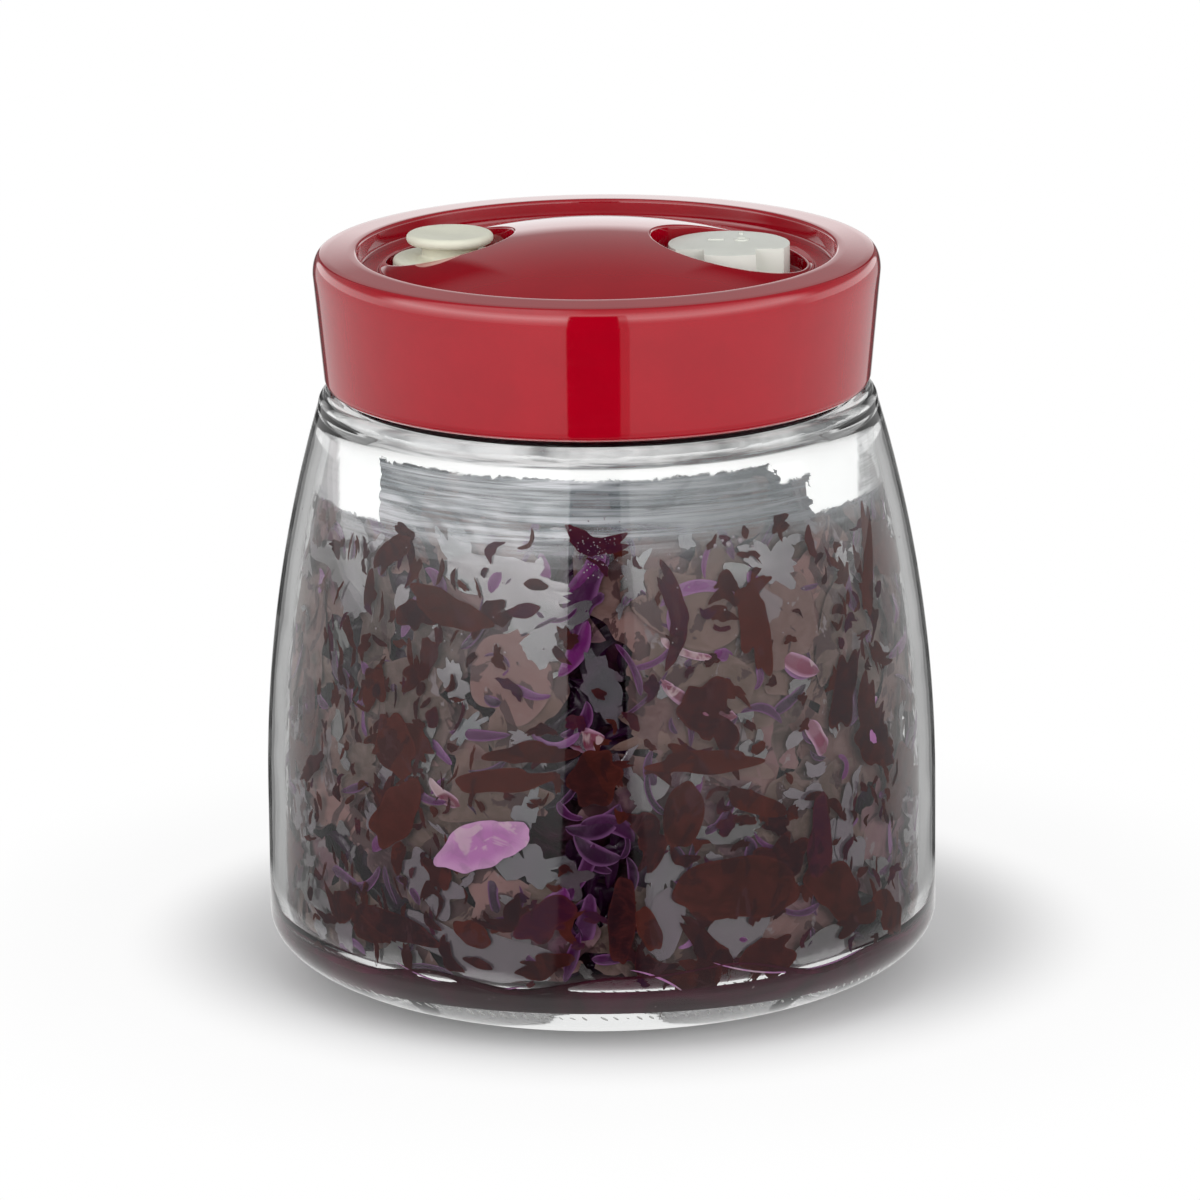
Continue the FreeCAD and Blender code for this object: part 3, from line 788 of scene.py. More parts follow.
# %% [markdown]
# ## The brine
# A little wine-dark brine stands under the pressed cabbage. Where a liquid touches glass there
# is no air between them. A body that stops short of the wall would show a silver gap, and one
# that ends exactly on it would flicker, so the brine is turned a hair's breadth into the wall.
# Its edge climbs and dips where shreds hang into it.

# %% The turned body of the brine
INTO_WALL = 0.12 * MM
CREEP, MENISCUS = 2 * MM, 0.7 * MM          # how far its edge creeps up the glass, and its width
BRINE_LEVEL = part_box("brine")[1].z + CREEP
CLEAR_FLOOR = 10.1 * MM      # up to here it keeps off the glass, whose thick floor stays bright
brine_rim = inner_radius(BRINE_LEVEL) + INTO_WALL
off_wall = flank(WALL + 2 * INTO_WALL, FLOOR_GLASS + INTO_WALL, TURN_IN)
in_wall = flank(WALL - INTO_WALL, FLOOR_GLASS - INTO_WALL, TURN_IN)
outline = [(0, FLOOR_GLASS + INTO_WALL)] + [p for p in off_wall if p[1] < CLEAR_FLOOR]
outline += [p for p in in_wall if CLEAR_FLOOR < p[1] < BRINE_LEVEL - 0.2 * MM]
outline += [(brine_rim, BRINE_LEVEL), (brine_rim - MENISCUS, BRINE_LEVEL - 0.15 * MM)]
outline += straight(outline[-1], (0, BRINE_LEVEL - 0.3 * MM), 8)
print("brine up to %.1f mm" % (BRINE_LEVEL / MM))
brine = turned("brine_body", outline, FINE_STEPS)

# %% The brine's wavy edge
EDGE_WAVES = ((1.7, 3, 0.9), (1.2, 7, -0.4), (0.7, 13, 2.1))      # height in mm, waves, phase
RIM_SHARE = 0.8                             # the waves fade from the rim in to this share of it


def brine_edge(angle):
    """How far the brine's edge strays from its level, round the jar."""
    return MM * sum(rise * math.sin(waves * angle + phase) for rise, waves, phase in EDGE_WAVES)


for v in brine.data.vertices:
    share = math.hypot(v.co.x, v.co.y) / brine_rim
    near_rim = max(0.0, share - RIM_SHARE) / (1 - RIM_SHARE)
    if v.co.z > BRINE_LEVEL - 1.5 * MM and near_rim > 0:
        v.co.z += brine_edge(math.atan2(v.co.x, -v.co.y)) * near_rim
        if near_rim > 0.99:                 # the rim itself stays in the wall
            pull = (inner_radius(v.co.z) + 2 * INTO_WALL) / brine_rim
            v.co.x, v.co.y = v.co.x * pull, v.co.y * pull
smooth(brine, 60)
print("its edge strays by up to %.1f mm" % (max(brine_edge(a / 50) for a in range(315)) / MM))

# %% Brine finish
MURK, SPECKS = 38.0, 900.0
BRINE_TONES = tones((0.35, 34, 8, 16), (0.5, 48, 14, 24), (0.62, 78, 18, 44), (0.72, 60, 28, 28))
wine = Material("brine")
place = wine.place()
murk = wine.noise(place, MURK, detail=4.0, rough=0.6, warp=1.0)
specks = wine.noise(place, SPECKS, detail=2.0) > 0.74
colour = wine.mix(specks * 0.8, wine.ramp(murk, BRINE_TONES), srgb(150, 130, 130))
dress(brine, wine.finish(wine.skin(
    Base_Color=colour, Roughness=0.35 + 0.2 * murk, Specular_IOR_Level=0.12,
    Normal=wine.bump(murk, strength=0.2, distance=0.5 * MM))), "brine", "brine")

# %% [markdown]
# ## Places on the glass
# Whatever is pressed against the glass is laid out flat first, as on a table: u runs round the
# jar, v runs up and w goes inwards. `on_wall` then wraps it onto the inner wall. A Shrinkwrap
# modifier could do that too, but not at a chosen depth for each of two thousand scraps. An angle
# of 0 faces the camera and positive angles lie to its right.

# %% Wrapping flat shapes onto the wall
WALL_EDGE, SUNK_MOST = 0.4 * MM, 0.2 * MM
_heights = np.linspace(FLOOR_GLASS, SHOULDER, 240)
_radii = np.array([inner_radius(z) for z in _heights])


def swung(u, v, turn):
    """Two coordinates turned by an angle in radians."""
    return u * math.cos(turn) - v * math.sin(turn), u * math.sin(turn) + v * math.cos(turn)


def on_wall(angle, height, depth):
    """Points at angles, heights and depths behind the inner wall, as an array of x, y, z."""
    height = np.clip(height, FLOOR_GLASS + WALL_EDGE, TURN_IN - WALL_EDGE)
    radius = np.interp(height, _heights, _radii) - np.maximum(depth, -SUNK_MOST)
    return np.stack([radius * np.sin(angle), -radius * np.cos(angle), height], axis=-1)


def pressed(u, v, w, turn, angle, height):
    """Tilts a flat shape and wraps it onto the wall, round a place given in degrees and metres."""
    u, v = swung(u, v, math.radians(turn))
    return on_wall(math.radians(angle) + u / inner_radius(height), height + v, w)


print("the wall is mapped from %.1f to %.1f mm" % (_heights[0] / MM, _heights[-1] / MM))

# %% Many small shapes as one mesh
def joined(name, parts):
    """One mesh out of many small ones, each (points, faces, {attribute: values})."""
    offset, points, faces = 0, [], []
    values = {key: [] for key in parts[0][2]}
    for part_points, part_faces, part_values in parts:
        points.append(part_points)
        faces += (part_faces + offset).tolist()
        offset += len(part_points)
        for key, value in part_values.items():
            values[key].append(np.broadcast_to(value, len(part_points)))
    mesh = bpy.data.meshes.new(name)
    mesh.from_pydata(np.concatenate(points).tolist(), [], faces)
    for key, value in values.items():
        attribute = mesh.attributes.new(key, "FLOAT", "POINT")
        attribute.data.foreach_set("value", np.concatenate(value).astype(np.float32))
    mesh.shade_smooth()
    piece = bpy.data.objects.new(name, mesh)
    scene.collection.objects.link(piece)
    return piece


def modelled(make, *args, **settings):
    """Runs modelling steps on a fresh primitive and returns its corners and faces as arrays."""
    pick()
    make(*args, **settings)
    settle()
    o = bpy.context.object
    points = np.array([v.co[:] for v in o.data.vertices])
    faces = np.array([p.vertices[:] for p in o.data.polygons])
    bpy.data.objects.remove(o)
    return points, faces


# %% [markdown]
# ## Two templates: a scrap of leaf and a shred
# A cut leaf breaks into scraps with torn, wavy outlines, and the shredder makes long curved
# ribbons. One picture of leaves wrapped round the heap would be quicker, but it would have no
# depth and no edges for the light to catch. So each kind is modelled once: the scrap is a disc
# of a few rings, the shred a narrow grid. Every copy then gets its own outline, bend and curl,
# so no two are alike. Large scraps start from a disc with more corners, so that their outlines
# stay smooth.

# %% The templates
FULL_TURN = 2 * math.pi


def scrap_disc(corners, rings):
    bpy.ops.mesh.primitive_circle_add(vertices=corners, radius=1.0, fill_type="NGON",
                                      enter_editmode=True)
    for _ in range(rings - 1):
        bpy.ops.mesh.inset(thickness=0.9 / rings, use_boundary=True)
    bpy.ops.mesh.poke()
    bpy.ops.mesh.select_all(action="SELECT")
    bpy.ops.mesh.quads_convert_to_tris()
    bpy.ops.object.mode_set(mode="OBJECT")


small_disc, large_disc = modelled(scrap_disc, 22, 2), modelled(scrap_disc, 56, 4)
strip_points, strip_faces = modelled(bpy.ops.mesh.primitive_grid_add, size=2.0,
                                     x_subdivisions=16, y_subdivisions=4)
print("scraps:", len(small_disc[1]), "or", len(large_disc[1]), "faces; shred:",
      len(strip_faces), "faces")

# %% A scrap of its own outline
LARGE_SCRAP = 7 * MM
OUTLINE_CORNERS, NARROWEST, WIDEST = 56, 0.22, 2.0
SMOOTH_WAVES, RAGGED_WAVES = range(2, 8), range(9, 19)


def wavy(turns, amount, ragged, draw):
    """An uneven outline, as a factor on the radius at each turn round a scrap."""
    corners = np.linspace(0, FULL_TURN, OUTLINE_CORNERS + 1)[:-1]
    edge = np.ones(OUTLINE_CORNERS)
    for k in SMOOTH_WAVES:
        edge += amount * draw.normal() / k ** 0.85 * np.cos(k * corners + draw.uniform(0, 6.28))
    for k in RAGGED_WAVES:
        edge += ragged * draw.normal() * np.cos(k * corners + draw.uniform(0, 6.28))
    edge = np.clip(edge, NARROWEST, WIDEST)
    return np.interp(turns % FULL_TURN, np.append(corners, FULL_TURN), np.append(edge, edge[0]))


def scrap(angle, height, length, width, turn, depth, draw,
          amount=0.34, ragged=0.02, bend=0.0, folds=0.0, shade=None):
    """One scrap of leaf on the wall. Angles are in degrees, sizes in metres."""
    disc, faces = large_disc if length > LARGE_SCRAP else small_disc
    across, up, _ = disc.T
    edge = wavy(np.arctan2(up, across), amount, ragged, draw)
    u = across * edge * length / 2
    v = up * edge * width / 2 + bend * (across * edge) ** 2 * width
    w = depth + folds * (1 + np.sin(across * 4 + 3 * up + draw.uniform(0, 6.28)))
    shade = draw.uniform() if shade is None else shade
    return (pressed(u, v, w, turn, angle, height), faces,
            {"shade": shade, "rim": np.hypot(across, up)})


# %% A shred with its own curl
def shred(angle, height, length, width, turn, depth, draw, arc=0.5, curl=0.6, shade=None):
    """One ribbon of cabbage: it bends sideways by its arc and curls at its long edges."""
    s, t = strip_points[:, 0], strip_points[:, 1]
    taper = (np.sqrt(np.clip(1 - np.abs(s) ** 2.6, 0.01, 1))
             * (1 + 0.2 * np.sin(3 * s + draw.uniform(0, 6))))
    arc = arc if abs(arc) > 0.01 else 0.01
    heading = arc * s
    side_step = t * taper * width / 2
    u = length / 2 * np.sin(heading) / arc - side_step * np.sin(heading)
    v = length / 2 * (1 - np.cos(heading)) / arc + side_step * np.cos(heading)
    w = curl * width * 0.4 * t ** 2 + 0.15 * width * np.sin(2.2 * s + draw.uniform(0, 6))
    shade = draw.uniform() if shade is None else shade
    return (pressed(u, v, depth + w - w.min(), turn, angle, height), strip_faces,
            {"shade": shade, "across": np.abs(t), "along": (s + 1) / 2})


# %% [markdown]
# ## The heap behind the glass
# Deep between the shreds the jar is almost black. Filling it with shreds to the middle would
# cost a million faces that nobody sees, so a turned core stands for that depth, with lumps all
# over, a little smaller than the heap itself, and everything else lies on it.

# %% The turned core of the heap
CABBAGE_TOP, CORE_DEPTH = 104.5 * MM, 5.0 * MM
BAND_LOW, BAND_HIGH = BRINE_LEVEL - 1 * MM, CABBAGE_TOP
core_low, core_top = BRINE_LEVEL - 4 * MM, CABBAGE_TOP - 4 * MM
outline = [(0, core_low)]
outline += straight((0, core_low), (inner_radius(core_low) - CORE_DEPTH, core_low), 6)
outline += [(inner_radius(z) - CORE_DEPTH, z) for z in np.linspace(core_low, core_top, 34)[1:]]
outline += straight(outline[-1], (0, core_top), 20)
print("core from %.1f to %.1f mm" % (core_low / MM, core_top / MM))
core = turned("cabbage_core", outline, 128)

# %% Lumps of the core and its uneven top
LUMP, TOP_WAVE, TOP_LUMP = 0.8 * MM, 2.6 * MM, 0.5 * MM


def cabbage_level(x, y):
    """Height of the cabbage's uneven top."""
    x, y = x / MM, y / MM
    waves_here = (math.sin(0.105 * x + 0.6) * math.cos(0.083 * y - 0.4)
                  + 0.6 * math.sin(0.061 * x - 0.142 * y + 1.9)
                  + 0.35 * math.cos(0.19 * x + 0.11 * y))
    return CABBAGE_TOP + TOP_WAVE * waves_here / 1.95


for v in core.data.vertices:
    a, r, z = math.atan2(v.co.x, -v.co.y), math.hypot(v.co.x, v.co.y), v.co.z
    lump = (math.sin(9 * a + 160 * z) * math.sin(210 * z + 2.3 * math.sin(4 * a))
            + 0.6 * math.sin(23 * a - 330 * z))
    if r > 1 * MM:
        pull = 1 - LUMP * (1 + lump) / r
        v.co.x, v.co.y = v.co.x * pull, v.co.y * pull
    if z > CABBAGE_TOP - 5 * MM:
        v.co.z += cabbage_level(v.co.x, v.co.y) - CABBAGE_TOP - TOP_LUMP * lump
smooth(core, 70)
print("its top in the middle: %.1f mm" % (cabbage_level(0, 0) / MM))

# %% Deep cabbage finish
PATCHES = 130.0
# the core's near-black tones are painted shade of the depth between the shreds
DEPTH_SHADE_TONES = tones((0.3, 14, 3, 8), (0.48, 34, 9, 18), (0.6, 58, 16, 40), (0.75, 48, 24, 22))
deep = Material("deep_cabbage_shaded")
patchy = deep.noise(deep.place(), PATCHES, detail=4.0, rough=0.6, warp=1.5)
dress(core, deep.finish(deep.skin(
    Base_Color=deep.ramp(patchy, DEPTH_SHADE_TONES), Roughness=0.5, Specular_IOR_Level=0.25,
    Normal=deep.bump(patchy, strength=0.6, distance=1.5 * MM))), "red_cabbage", "cabbage")

# %% Places that keep apart
rng = np.random.default_rng(20240611)
TRIES = 30
MM_PER_DEGREE = 1.12


def strewn(count, low, high, spacing):
    """Places over the whole wall that keep apart, as (angle in degrees, height)."""
    places = []
    for _ in range(count * TRIES):
        if len(places) == count:
            break
        angle, height = rng.uniform(-180, 180), rng.uniform(low, high)
        if all(math.hypot(((angle - a + 180) % 360 - 180) * MM_PER_DEGREE * MM, height - h)
               > spacing for a, h in places):
            places.append((angle, height))
    return places


def any_of(low, high):
    """A length from a range that is given in millimetres."""
    return rng.uniform(low, high) * MM


def any_tilt():
    return rng.uniform(0, 180)


print("strewn from %.1f to %.1f mm" % (BAND_LOW / MM, BAND_HIGH / MM))

# %% [markdown]
# ## Whole leaves flat against the glass
# Most of what shows is broad leaf pressed almost flat: grey olive, brown and dull pink, with
# soft folds and faint veins. A simulated cloth would fold better, but three hundred of them would
# take hours. These are large scraps a little behind the wall, and nearly close. No leaf is strewn
# in the middle of the front, so the dark core shows there as a dark column: painted shade.

# %% Broad leaves
DARK_COLUMN_MIDDLE, DARK_COLUMN_HALF, DARK_COLUMN_TOP = -0.5, 8, 92 * MM
broad = []
for angle, height in strewn(300, BAND_LOW, BAND_HIGH, 7.0 * MM):
    # painted shade: no leaf in the dark column in the middle of the front
    if abs(angle - DARK_COLUMN_MIDDLE) < DARK_COLUMN_HALF and height < DARK_COLUMN_TOP:
        continue
    length = any_of(13, 30)
    broad.append(scrap(angle, height, length, length * rng.uniform(0.35, 0.75), any_tilt(),
                       any_of(0.75, 1.6), rng, amount=0.3, bend=rng.uniform(-0.3, 0.3),
                       folds=0.25 * MM))
print(len(broad), "broad leaves")

# %% [markdown]
# ## Films of trapped air
# Pressed leaves trap flat pockets of air against the glass. A pocket's wet skin mirrors the
# lamps, so it looks silver grey beside them and goes dark in the gap between them. True gaps
# would need every leaf sealed against the wall, so the films are thin ragged scraps close behind
# it, with a strong mirror and little colour of their own.

# %% Air films
films = []
for angle, height in strewn(250, BAND_LOW, BAND_HIGH, 5.0 * MM):
    length = min(17.0, 4.5 * rng.pareto(2.0) + 4.0) * MM
    films.append(scrap(angle, height, length, length * rng.uniform(0.3, 0.8), any_tilt(),
                       any_of(0.55, 0.7), rng, amount=0.42, ragged=0.028,
                       bend=rng.uniform(-0.4, 0.4)))
print(len(films), "films")

# %% [markdown]
# ## Wet scraps of leaf
# Where a leaf clings to the wet glass its own colour shows: red-brown, wine and dark plum.
# These scraps come in all sizes, few large ones and many small, and lie over the films. Those
# in front and behind cling to the wall, a hair inside it, so that the glass adds no haze. Past
# that the wall is seen so flat that its clear edge must stay free, and they keep off it.

# %% Wet scraps
CLING, CLING_SHARE = 62.0, -0.2


def clings(angle):
    return abs(angle) < CLING or abs(angle) > 180 - CLING


def wet_depth(angle, depth):
    return CLING_SHARE * depth if clings(angle) else depth


wet = []
for angle, height in strewn(640, BAND_LOW, BAND_HIGH - 2 * MM, 2.9 * MM):
    length = min(16.0, 3.0 * rng.pareto(1.9) + 2.4) * MM
    depth = wet_depth(angle, any_of(0.14, 0.42))
    wet.append(scrap(angle, height, length, length * rng.uniform(0.28, 0.7), any_tilt(), depth,
                     rng, amount=0.36, ragged=0.012, bend=rng.uniform(-0.6, 0.6)))

# narrow upright flecks crowd towards both sides of the front
for low, high, count in ((-68, -22, 120), (46, 76, 70)):
    for _ in range(count):
        angle, depth = rng.uniform(low, high), any_of(0.14, 0.3)
        wet.append(scrap(angle, any_of(24, 97), any_of(2.0, 5.5), any_of(0.5, 1.5),
                         rng.uniform(60, 120), wet_depth(angle, depth), rng, amount=0.3,
                         bend=rng.uniform(-0.6, 0.6), shade=rng.uniform(0, 1)))
print(len(wet), "wet scraps")

# %% [markdown]
# ## Shreds
# The shredded leaf itself: deep purple ribbons with paler, glassy edges, and here and there a
# thick pale rib. They could be curves with a flat bevel, but a grid can also curl at its edges.
# Most lie deep and take only the darkest tones, painted shade of their depth, and some press
# against the glass. Near shreds in the dark column in the middle of the front are darkened as
# painted shade.

# %% Strewn shreds
deep_shreds, near_shreds, ribs = [], [], []
# painted shade: deep shreds take only the darker end of the purples
for _ in range(800):
    deep_shreds.append(shred(
        rng.uniform(-180, 180), rng.uniform(BAND_LOW, CABBAGE_TOP - 1 * MM), any_of(9, 26),
        any_of(1.8, 5.0), any_tilt(), any_of(1.7, 4.4), rng, arc=rng.uniform(-1.2, 1.2),
        curl=rng.uniform(0.2, 1.0), shade=rng.uniform(0, 0.4)))
# painted shade: near shreds in the dark column in front are darkened
for angle, height in strewn(330, BAND_LOW + 2 * MM, BAND_HIGH, 4.0 * MM):
    near_shreds.append(shred(
        angle, height, any_of(3.5, 13), any_of(0.7, 2.6), any_tilt(), any_of(0.14, 0.5), rng,
        arc=rng.uniform(-1.3, 1.3), curl=rng.uniform(0.05, 0.3),
        shade=rng.uniform(0.1, 1.0) ** 1.3 * (0.6 if abs(angle) < DARK_COLUMN_HALF else 1.0)))
for angle, height in strewn(46, BAND_LOW + 6 * MM, BAND_HIGH - 4 * MM, 14 * MM):
    if abs(angle) > 70:                     # those in front are listed one by one below
        ribs.append(shred(angle, height, any_of(6, 14), any_of(1.8, 4.0), any_tilt(),
                          any_of(0.12, 0.3), rng, arc=rng.uniform(-1.0, 1.0),
                          curl=rng.uniform(0.1, 0.3)))
print(len(deep_shreds), "deep shreds,", len(near_shreds), "near shreds,", len(ribs), "ribs")

# %% [markdown]
# ## The scraps that catch the eye
# A few large scraps give this jar its face, and no strewing would put them in their places, so
# they are listed one by one, in tables. The first number turns a scrap round the jar from the
# front, the second is its height, and then come length, width and tilt, its tone, and what the
# helper below names after that. They lie nearest to the glass.

# %% Laying one by one
hand = np.random.default_rng(7)
WET_IN, WET_LAYER, WET_LAYERS = -0.09, 0.0008, 50       # later scraps lie a little further in
RIB_IN, SHRED_IN = -0.16, -0.06


def lay(kind, angle, height, length, width, turn, shade,
        amount=0.25, bend=0.0, depth=0.11, ragged=0.0):
    """Lays one scrap. All sizes are in millimetres."""
    if kind is wet and clings(angle):
        depth = WET_IN - WET_LAYER * (len(kind) % WET_LAYERS)
    kind.append(scrap(angle, height * MM, length * MM, width * MM, turn, depth * MM, hand,
                      amount=amount, ragged=ragged, bend=bend, shade=shade))


def lay_shred(kind, angle, height, length, width, turn, shade, arc=0.4, depth=0.1, curl=0.12):
    """Lays one shred or rib. All sizes are in millimetres."""
    if clings(angle):
        depth = RIB_IN if kind is ribs else SHRED_IN
    kind.append(shred(angle, height * MM, length * MM, width * MM, turn, depth * MM, hand,
                      arc=arc, curl=curl, shade=shade))


# %% Laid one by one: wet red-brown and wine leaves
BROWN, RUST, PLUM, WINE = 0.36, 0.62, 0.06, 0.9
for row in ((24, 33.5, 27, 13, -6, BROWN, 0.3, -0.15), (44, 29, 17, 10, -32, BROWN, 0.25),
            (18.5, 59.0, 22, 4.6, -4, RUST, 0.2), (14.0, 49.0, 15, 7.0, 84, BROWN, 0.15),
            (27.5, 49.6, 14, 4.2, -22, RUST, 0.1), (40.5, 40.0, 17, 6.0, 86, WINE, 0.2),
            (29.5, 83.5, 17, 6.0, 88, RUST, 0.35), (60, 91, 22, 4.0, 74, RUST, 0.3),
            (7.8, 26.5, 9.5, 4.4, -70, RUST, 0.12), (48, 68, 15, 7, 70, PLUM, 0.4),
            (63, 46, 16, 9, 60, BROWN, 0.25), (50, 21.5, 12, 5, 5, BROWN, 0.3),
            (-38.5, 60.0, 15, 7.6, -56, RUST, 0.28), (-38.0, 46.5, 16, 9.0, 52, RUST, 0.3),
            (-17.5, 55.8, 20, 4.6, 12, RUST, 0.2), (-12.5, 61.5, 17, 4.0, 10, BROWN, 0.3),
            (-38.5, 23.5, 20, 5.5, -10, PLUM, 0.22), (-23.0, 24.5, 8.0, 5.0, -20, RUST, 0.18),
            (-22.0, 18.6, 6.5, 1.8, -16, PLUM, 0.2), (-29.0, 88.0, 17, 6.5, -14, BROWN, 0.3),
            (-35.5, 86.5, 9, 6.5, 20, PLUM, 0.3), (-14.0, 89.0, 6.0, 2.8, 16, WINE, 0.12),
            (-12.0, 94.0, 4.6, 2.2, -6, PLUM, 0.12), (-44, 71.0, 8, 5.5, 80, RUST, 0.3),
            (-10.0, 28.6, 12, 7.6, 32, WINE, 0.2), (3.2, 28.5, 18, 5.4, 86, PLUM, 0.08),
            (-1.2, 57, 12, 9.0, 60, BROWN, 0.2), (-43.4, 69.9, 3.0, 2.2, 78, PLUM, 0.05),
            (-33.5, 72.0, 2.8, 2.0, 70, PLUM, 0.05)):
    lay(wet, *row)
print("wet leaves, with those laid by hand:", len(wet))

# %% Laid one by one: broad leaves and air films
for row in ((-38, 70.8, 22, 13, 0, 0.10, 0.12, 0, 0.5), (-16, 76.5, 20, 15, 76, 0.66, 0.2, 0, 0.5),
            (17, 88.5, 24, 13, -20, 0.3, 0.15, 0, 0.52), (19, 76, 24, 11, -28, 0.22, 0.15, 0, 0.54),
            (36.5, 84, 18, 15, 80, 0.45, 0.15, 0, 0.48), (47, 80, 22, 7, 68, 0.14, 0.15, 0, 0.47),
            (-20, 51.5, 26, 9, 8, 0.20, 0.2, 0, 0.54), (-47, 26, 15, 9, -40, 0.2, 0.2, 0, 0.5)):
    lay(broad, *row)
for row in ((24.5, 26, 15, 12, 70, 0.75, 0.22, 0, 0.46), (11, 27.5, 17, 6.5, 78, 0.55, 0.2, 0, 0.46),
            (47, 41, 16, 5, 82, 0.6, 0.2, 0, 0.45), (42, 17.5, 15, 7.5, 6, 0.2, 0.15, 0, 0.45),
            (-22, 20.5, 30, 10, -12, 0.45, 0.25, 0, 0.46),
            (-31, 34, 14, 11, -30, 0.5, 0.3, 0, 0.46),
            (34.5, 95.5, 12, 8, -24, 0.8, 0.4, 0, 0.44, 0.03),
            (0.2, 74.5, 14, 6.5, -72, 0.9, 0.2, 0, 0.44, 0.02),
            (-17, 94, 24, 9, -4, 0.7, 0.3, 0, 0.46, 0.03),
            (-10, 86, 14, 9, 30, 0.85, 0.35, 0, 0.46, 0.03),
            (-13, 50, 8, 4.5, 80, 0.9, 0.3, 0, 0.44, 0.03),
            (-27, 74, 9, 5, -60, 0.8, 0.4, 0, 0.44, 0.03)):
    lay(films, *row)
print("with those laid by hand:", len(broad), "broad leaves and", len(films), "films")

# %% Laid one by one: pink ribs
LILAC, PINK, ROSE = 0.95, 0.55, 0.2
lay(ribs, -21.2, 42.8, 20, 9.2, 26, LILAC, 0.16, -0.08, depth=RIB_IN, ragged=0.01)
for row in ((-28.5, 51.8, 8.5, 2.4, -36, ROSE, 0.3), (17.5, 69.8, 16, 3.2, -28, ROSE, 0.3),
            (14.5, 71.5, 12, 2.2, -40, PINK, 0.2), (37.5, 75.4, 12, 3.4, -30, PINK, 0.2),
            (41, 60, 8.0, 4.2, -62, PINK, 0.3), (57.5, 59.5, 10, 6.5, 50, LILAC, 0.4),
            (-3.0, 64.2, 8.0, 4.2, 6, ROSE, 0.2), (15.2, 80.5, 11, 1.8, -24, PINK, 0.4)):
    lay_shred(ribs, *row)
print("with those laid by hand:", len(ribs), "ribs")

# %% Laid one by one: purple shreds, and the edge of the brine
# those near the middle of the front are given lower tones: painted shade of the dark column
for row in ((19.5, 93.0, 19, 2.2, -4, 0.97, -0.9), (13.2, 88.0, 8, 1.8, 70, 0.97, -0.8),
            (22.6, 79.4, 4.2, 2.2, -16, 0.8), (-4.2, 81.5, 12, 3.2, 62, 0.78, 0.3),
            (-3.2, 93.0, 17, 5.2, 66, 0.45, -0.5, 0.3), (-1.5, 97.0, 13, 3.0, 58, 0.7, 0.5, 0.2),
            (-0.8, 47.0, 13, 3.6, 24, 0.3, 0.8, 0.2), (1.6, 48.0, 12, 3.0, -20, 0.45, -0.8, 0.15),
            (-1.6, 42.0, 11, 3.4, -30, 0.25, 0.7, 0.2), (-4.0, 36.5, 16, 3.0, 58, 0.5, 0.4, 0.12),
            (-9.5, 29.5, 13, 4.6, 42, 0.75, 0.6, 0.05), (-3.0, 27.5, 13, 4.0, 74, 0.55, 0.3, 0.2),
            (72, 50.0, 15, 2.0, 60, 0.9, 0.5), (-33, 51.0, 12, 2.0, -24, 0.6, 0.7),
            (-12.5, 72.8, 8, 1.6, -14, 0.85, 0.6)):
    lay_shred(near_shreds, *row)
# the brine's edge up the glass, drawn as thin bright lines: painted highlight along its meniscus
for row in ((-26.4, 13.1, 28, 0.34, -3.7, LILAC, 0.35, 0.03, 0.0),
            (9.9, 16.2, 13, 0.34, -28, LILAC, -0.3, 0.03, 0.0),
            (34.7, 14.1, 36, 0.34, -6.0, LILAC, 0.3, 0.03, 0.0)):
    lay_shred(ribs, *row)
lay_shred(near_shreds, -15.7, 13.4, 3.6, 1.1, -8, 0.84, 0.3, 0.05, 0.05)
print("with those laid by hand:", len(near_shreds), "near shreds and", len(ribs), "ribs")

# %% [markdown]
# ## Leaf, shred and film
# Wet cabbage has tones from olive through rust to plum, blotches and fine veins, a lighter rim of
# painted highlight along its wet edge, and pale islands of painted reflection where it lifts off the
# glass. A picture wrapped round it would repeat. Here each scrap carries its own tone as a value
# on its mesh, a ramp turns that into a colour, and noise adds the rest.

# %% Leaf finish
LEAF_VEINS = (520.0, 520.0, 1300.0)
LEAF_ISLANDS, LEAF_LIFT_REFLECTION = (95.0, 95.0, 72.0), (120.0, 120.0, 84.0)


def leaf_material(name, stops, vein, vein_share, shine, swelling, islands, cling, lift_reflection):
    """Cabbage leaf: a tone for each piece, blotches, fine veins, a lighter rim of painted highlight,
    crisp dark islands where the leaf clings to the glass, and pale islands of painted reflection
    where it lifts off it."""
    leaf = Material(name)
    at = leaf.place()
    tint = leaf.ramp(leaf.own("shade"), stops)
    blotch = leaf.noise(at, 150.0, detail=5.0, rough=0.6, warp=1.4)
    fibre = leaf.streaks(at, LEAF_VEINS, detail=2.0, rough=0.5, warp=0.6)
    tint = leaf.mix(blotch.between(0.4, 0.72) * vein_share, tint, vein)
    tint = leaf.mix(fibre.between(0.52, 0.66) * 0.14, tint, vein)
    # painted highlight: a lighter rim along the leaf's wet edge
    tint = leaf.mix(leaf.own("rim").between(0.86, 1.0) * 0.3, tint, vein)
    island = leaf.streaks(at, LEAF_ISLANDS, detail=4.0, rough=0.55, warp=1.6)
    pale = leaf.streaks(at, LEAF_LIFT_REFLECTION, detail=4.0, rough=0.6, warp=1.2)
    tint = leaf.mix(island.between(0.555, 0.575) * islands, tint, cling)
    # painted reflection: pale islands where the leaf lifts off the glass
    tint = leaf.mix(pale.between(0.60, 0.63) * islands, tint, lift_reflection)
    swell = leaf.noise(at, 95.0, detail=1.0, rough=0.4, warp=0.8)
    return leaf.finish(leaf.skin(Base_Color=tint, Roughness=0.4, Specular_IOR_Level=shine,
                                 Normal=leaf.bump(swell, strength=swelling, distance=1.6 * MM)))


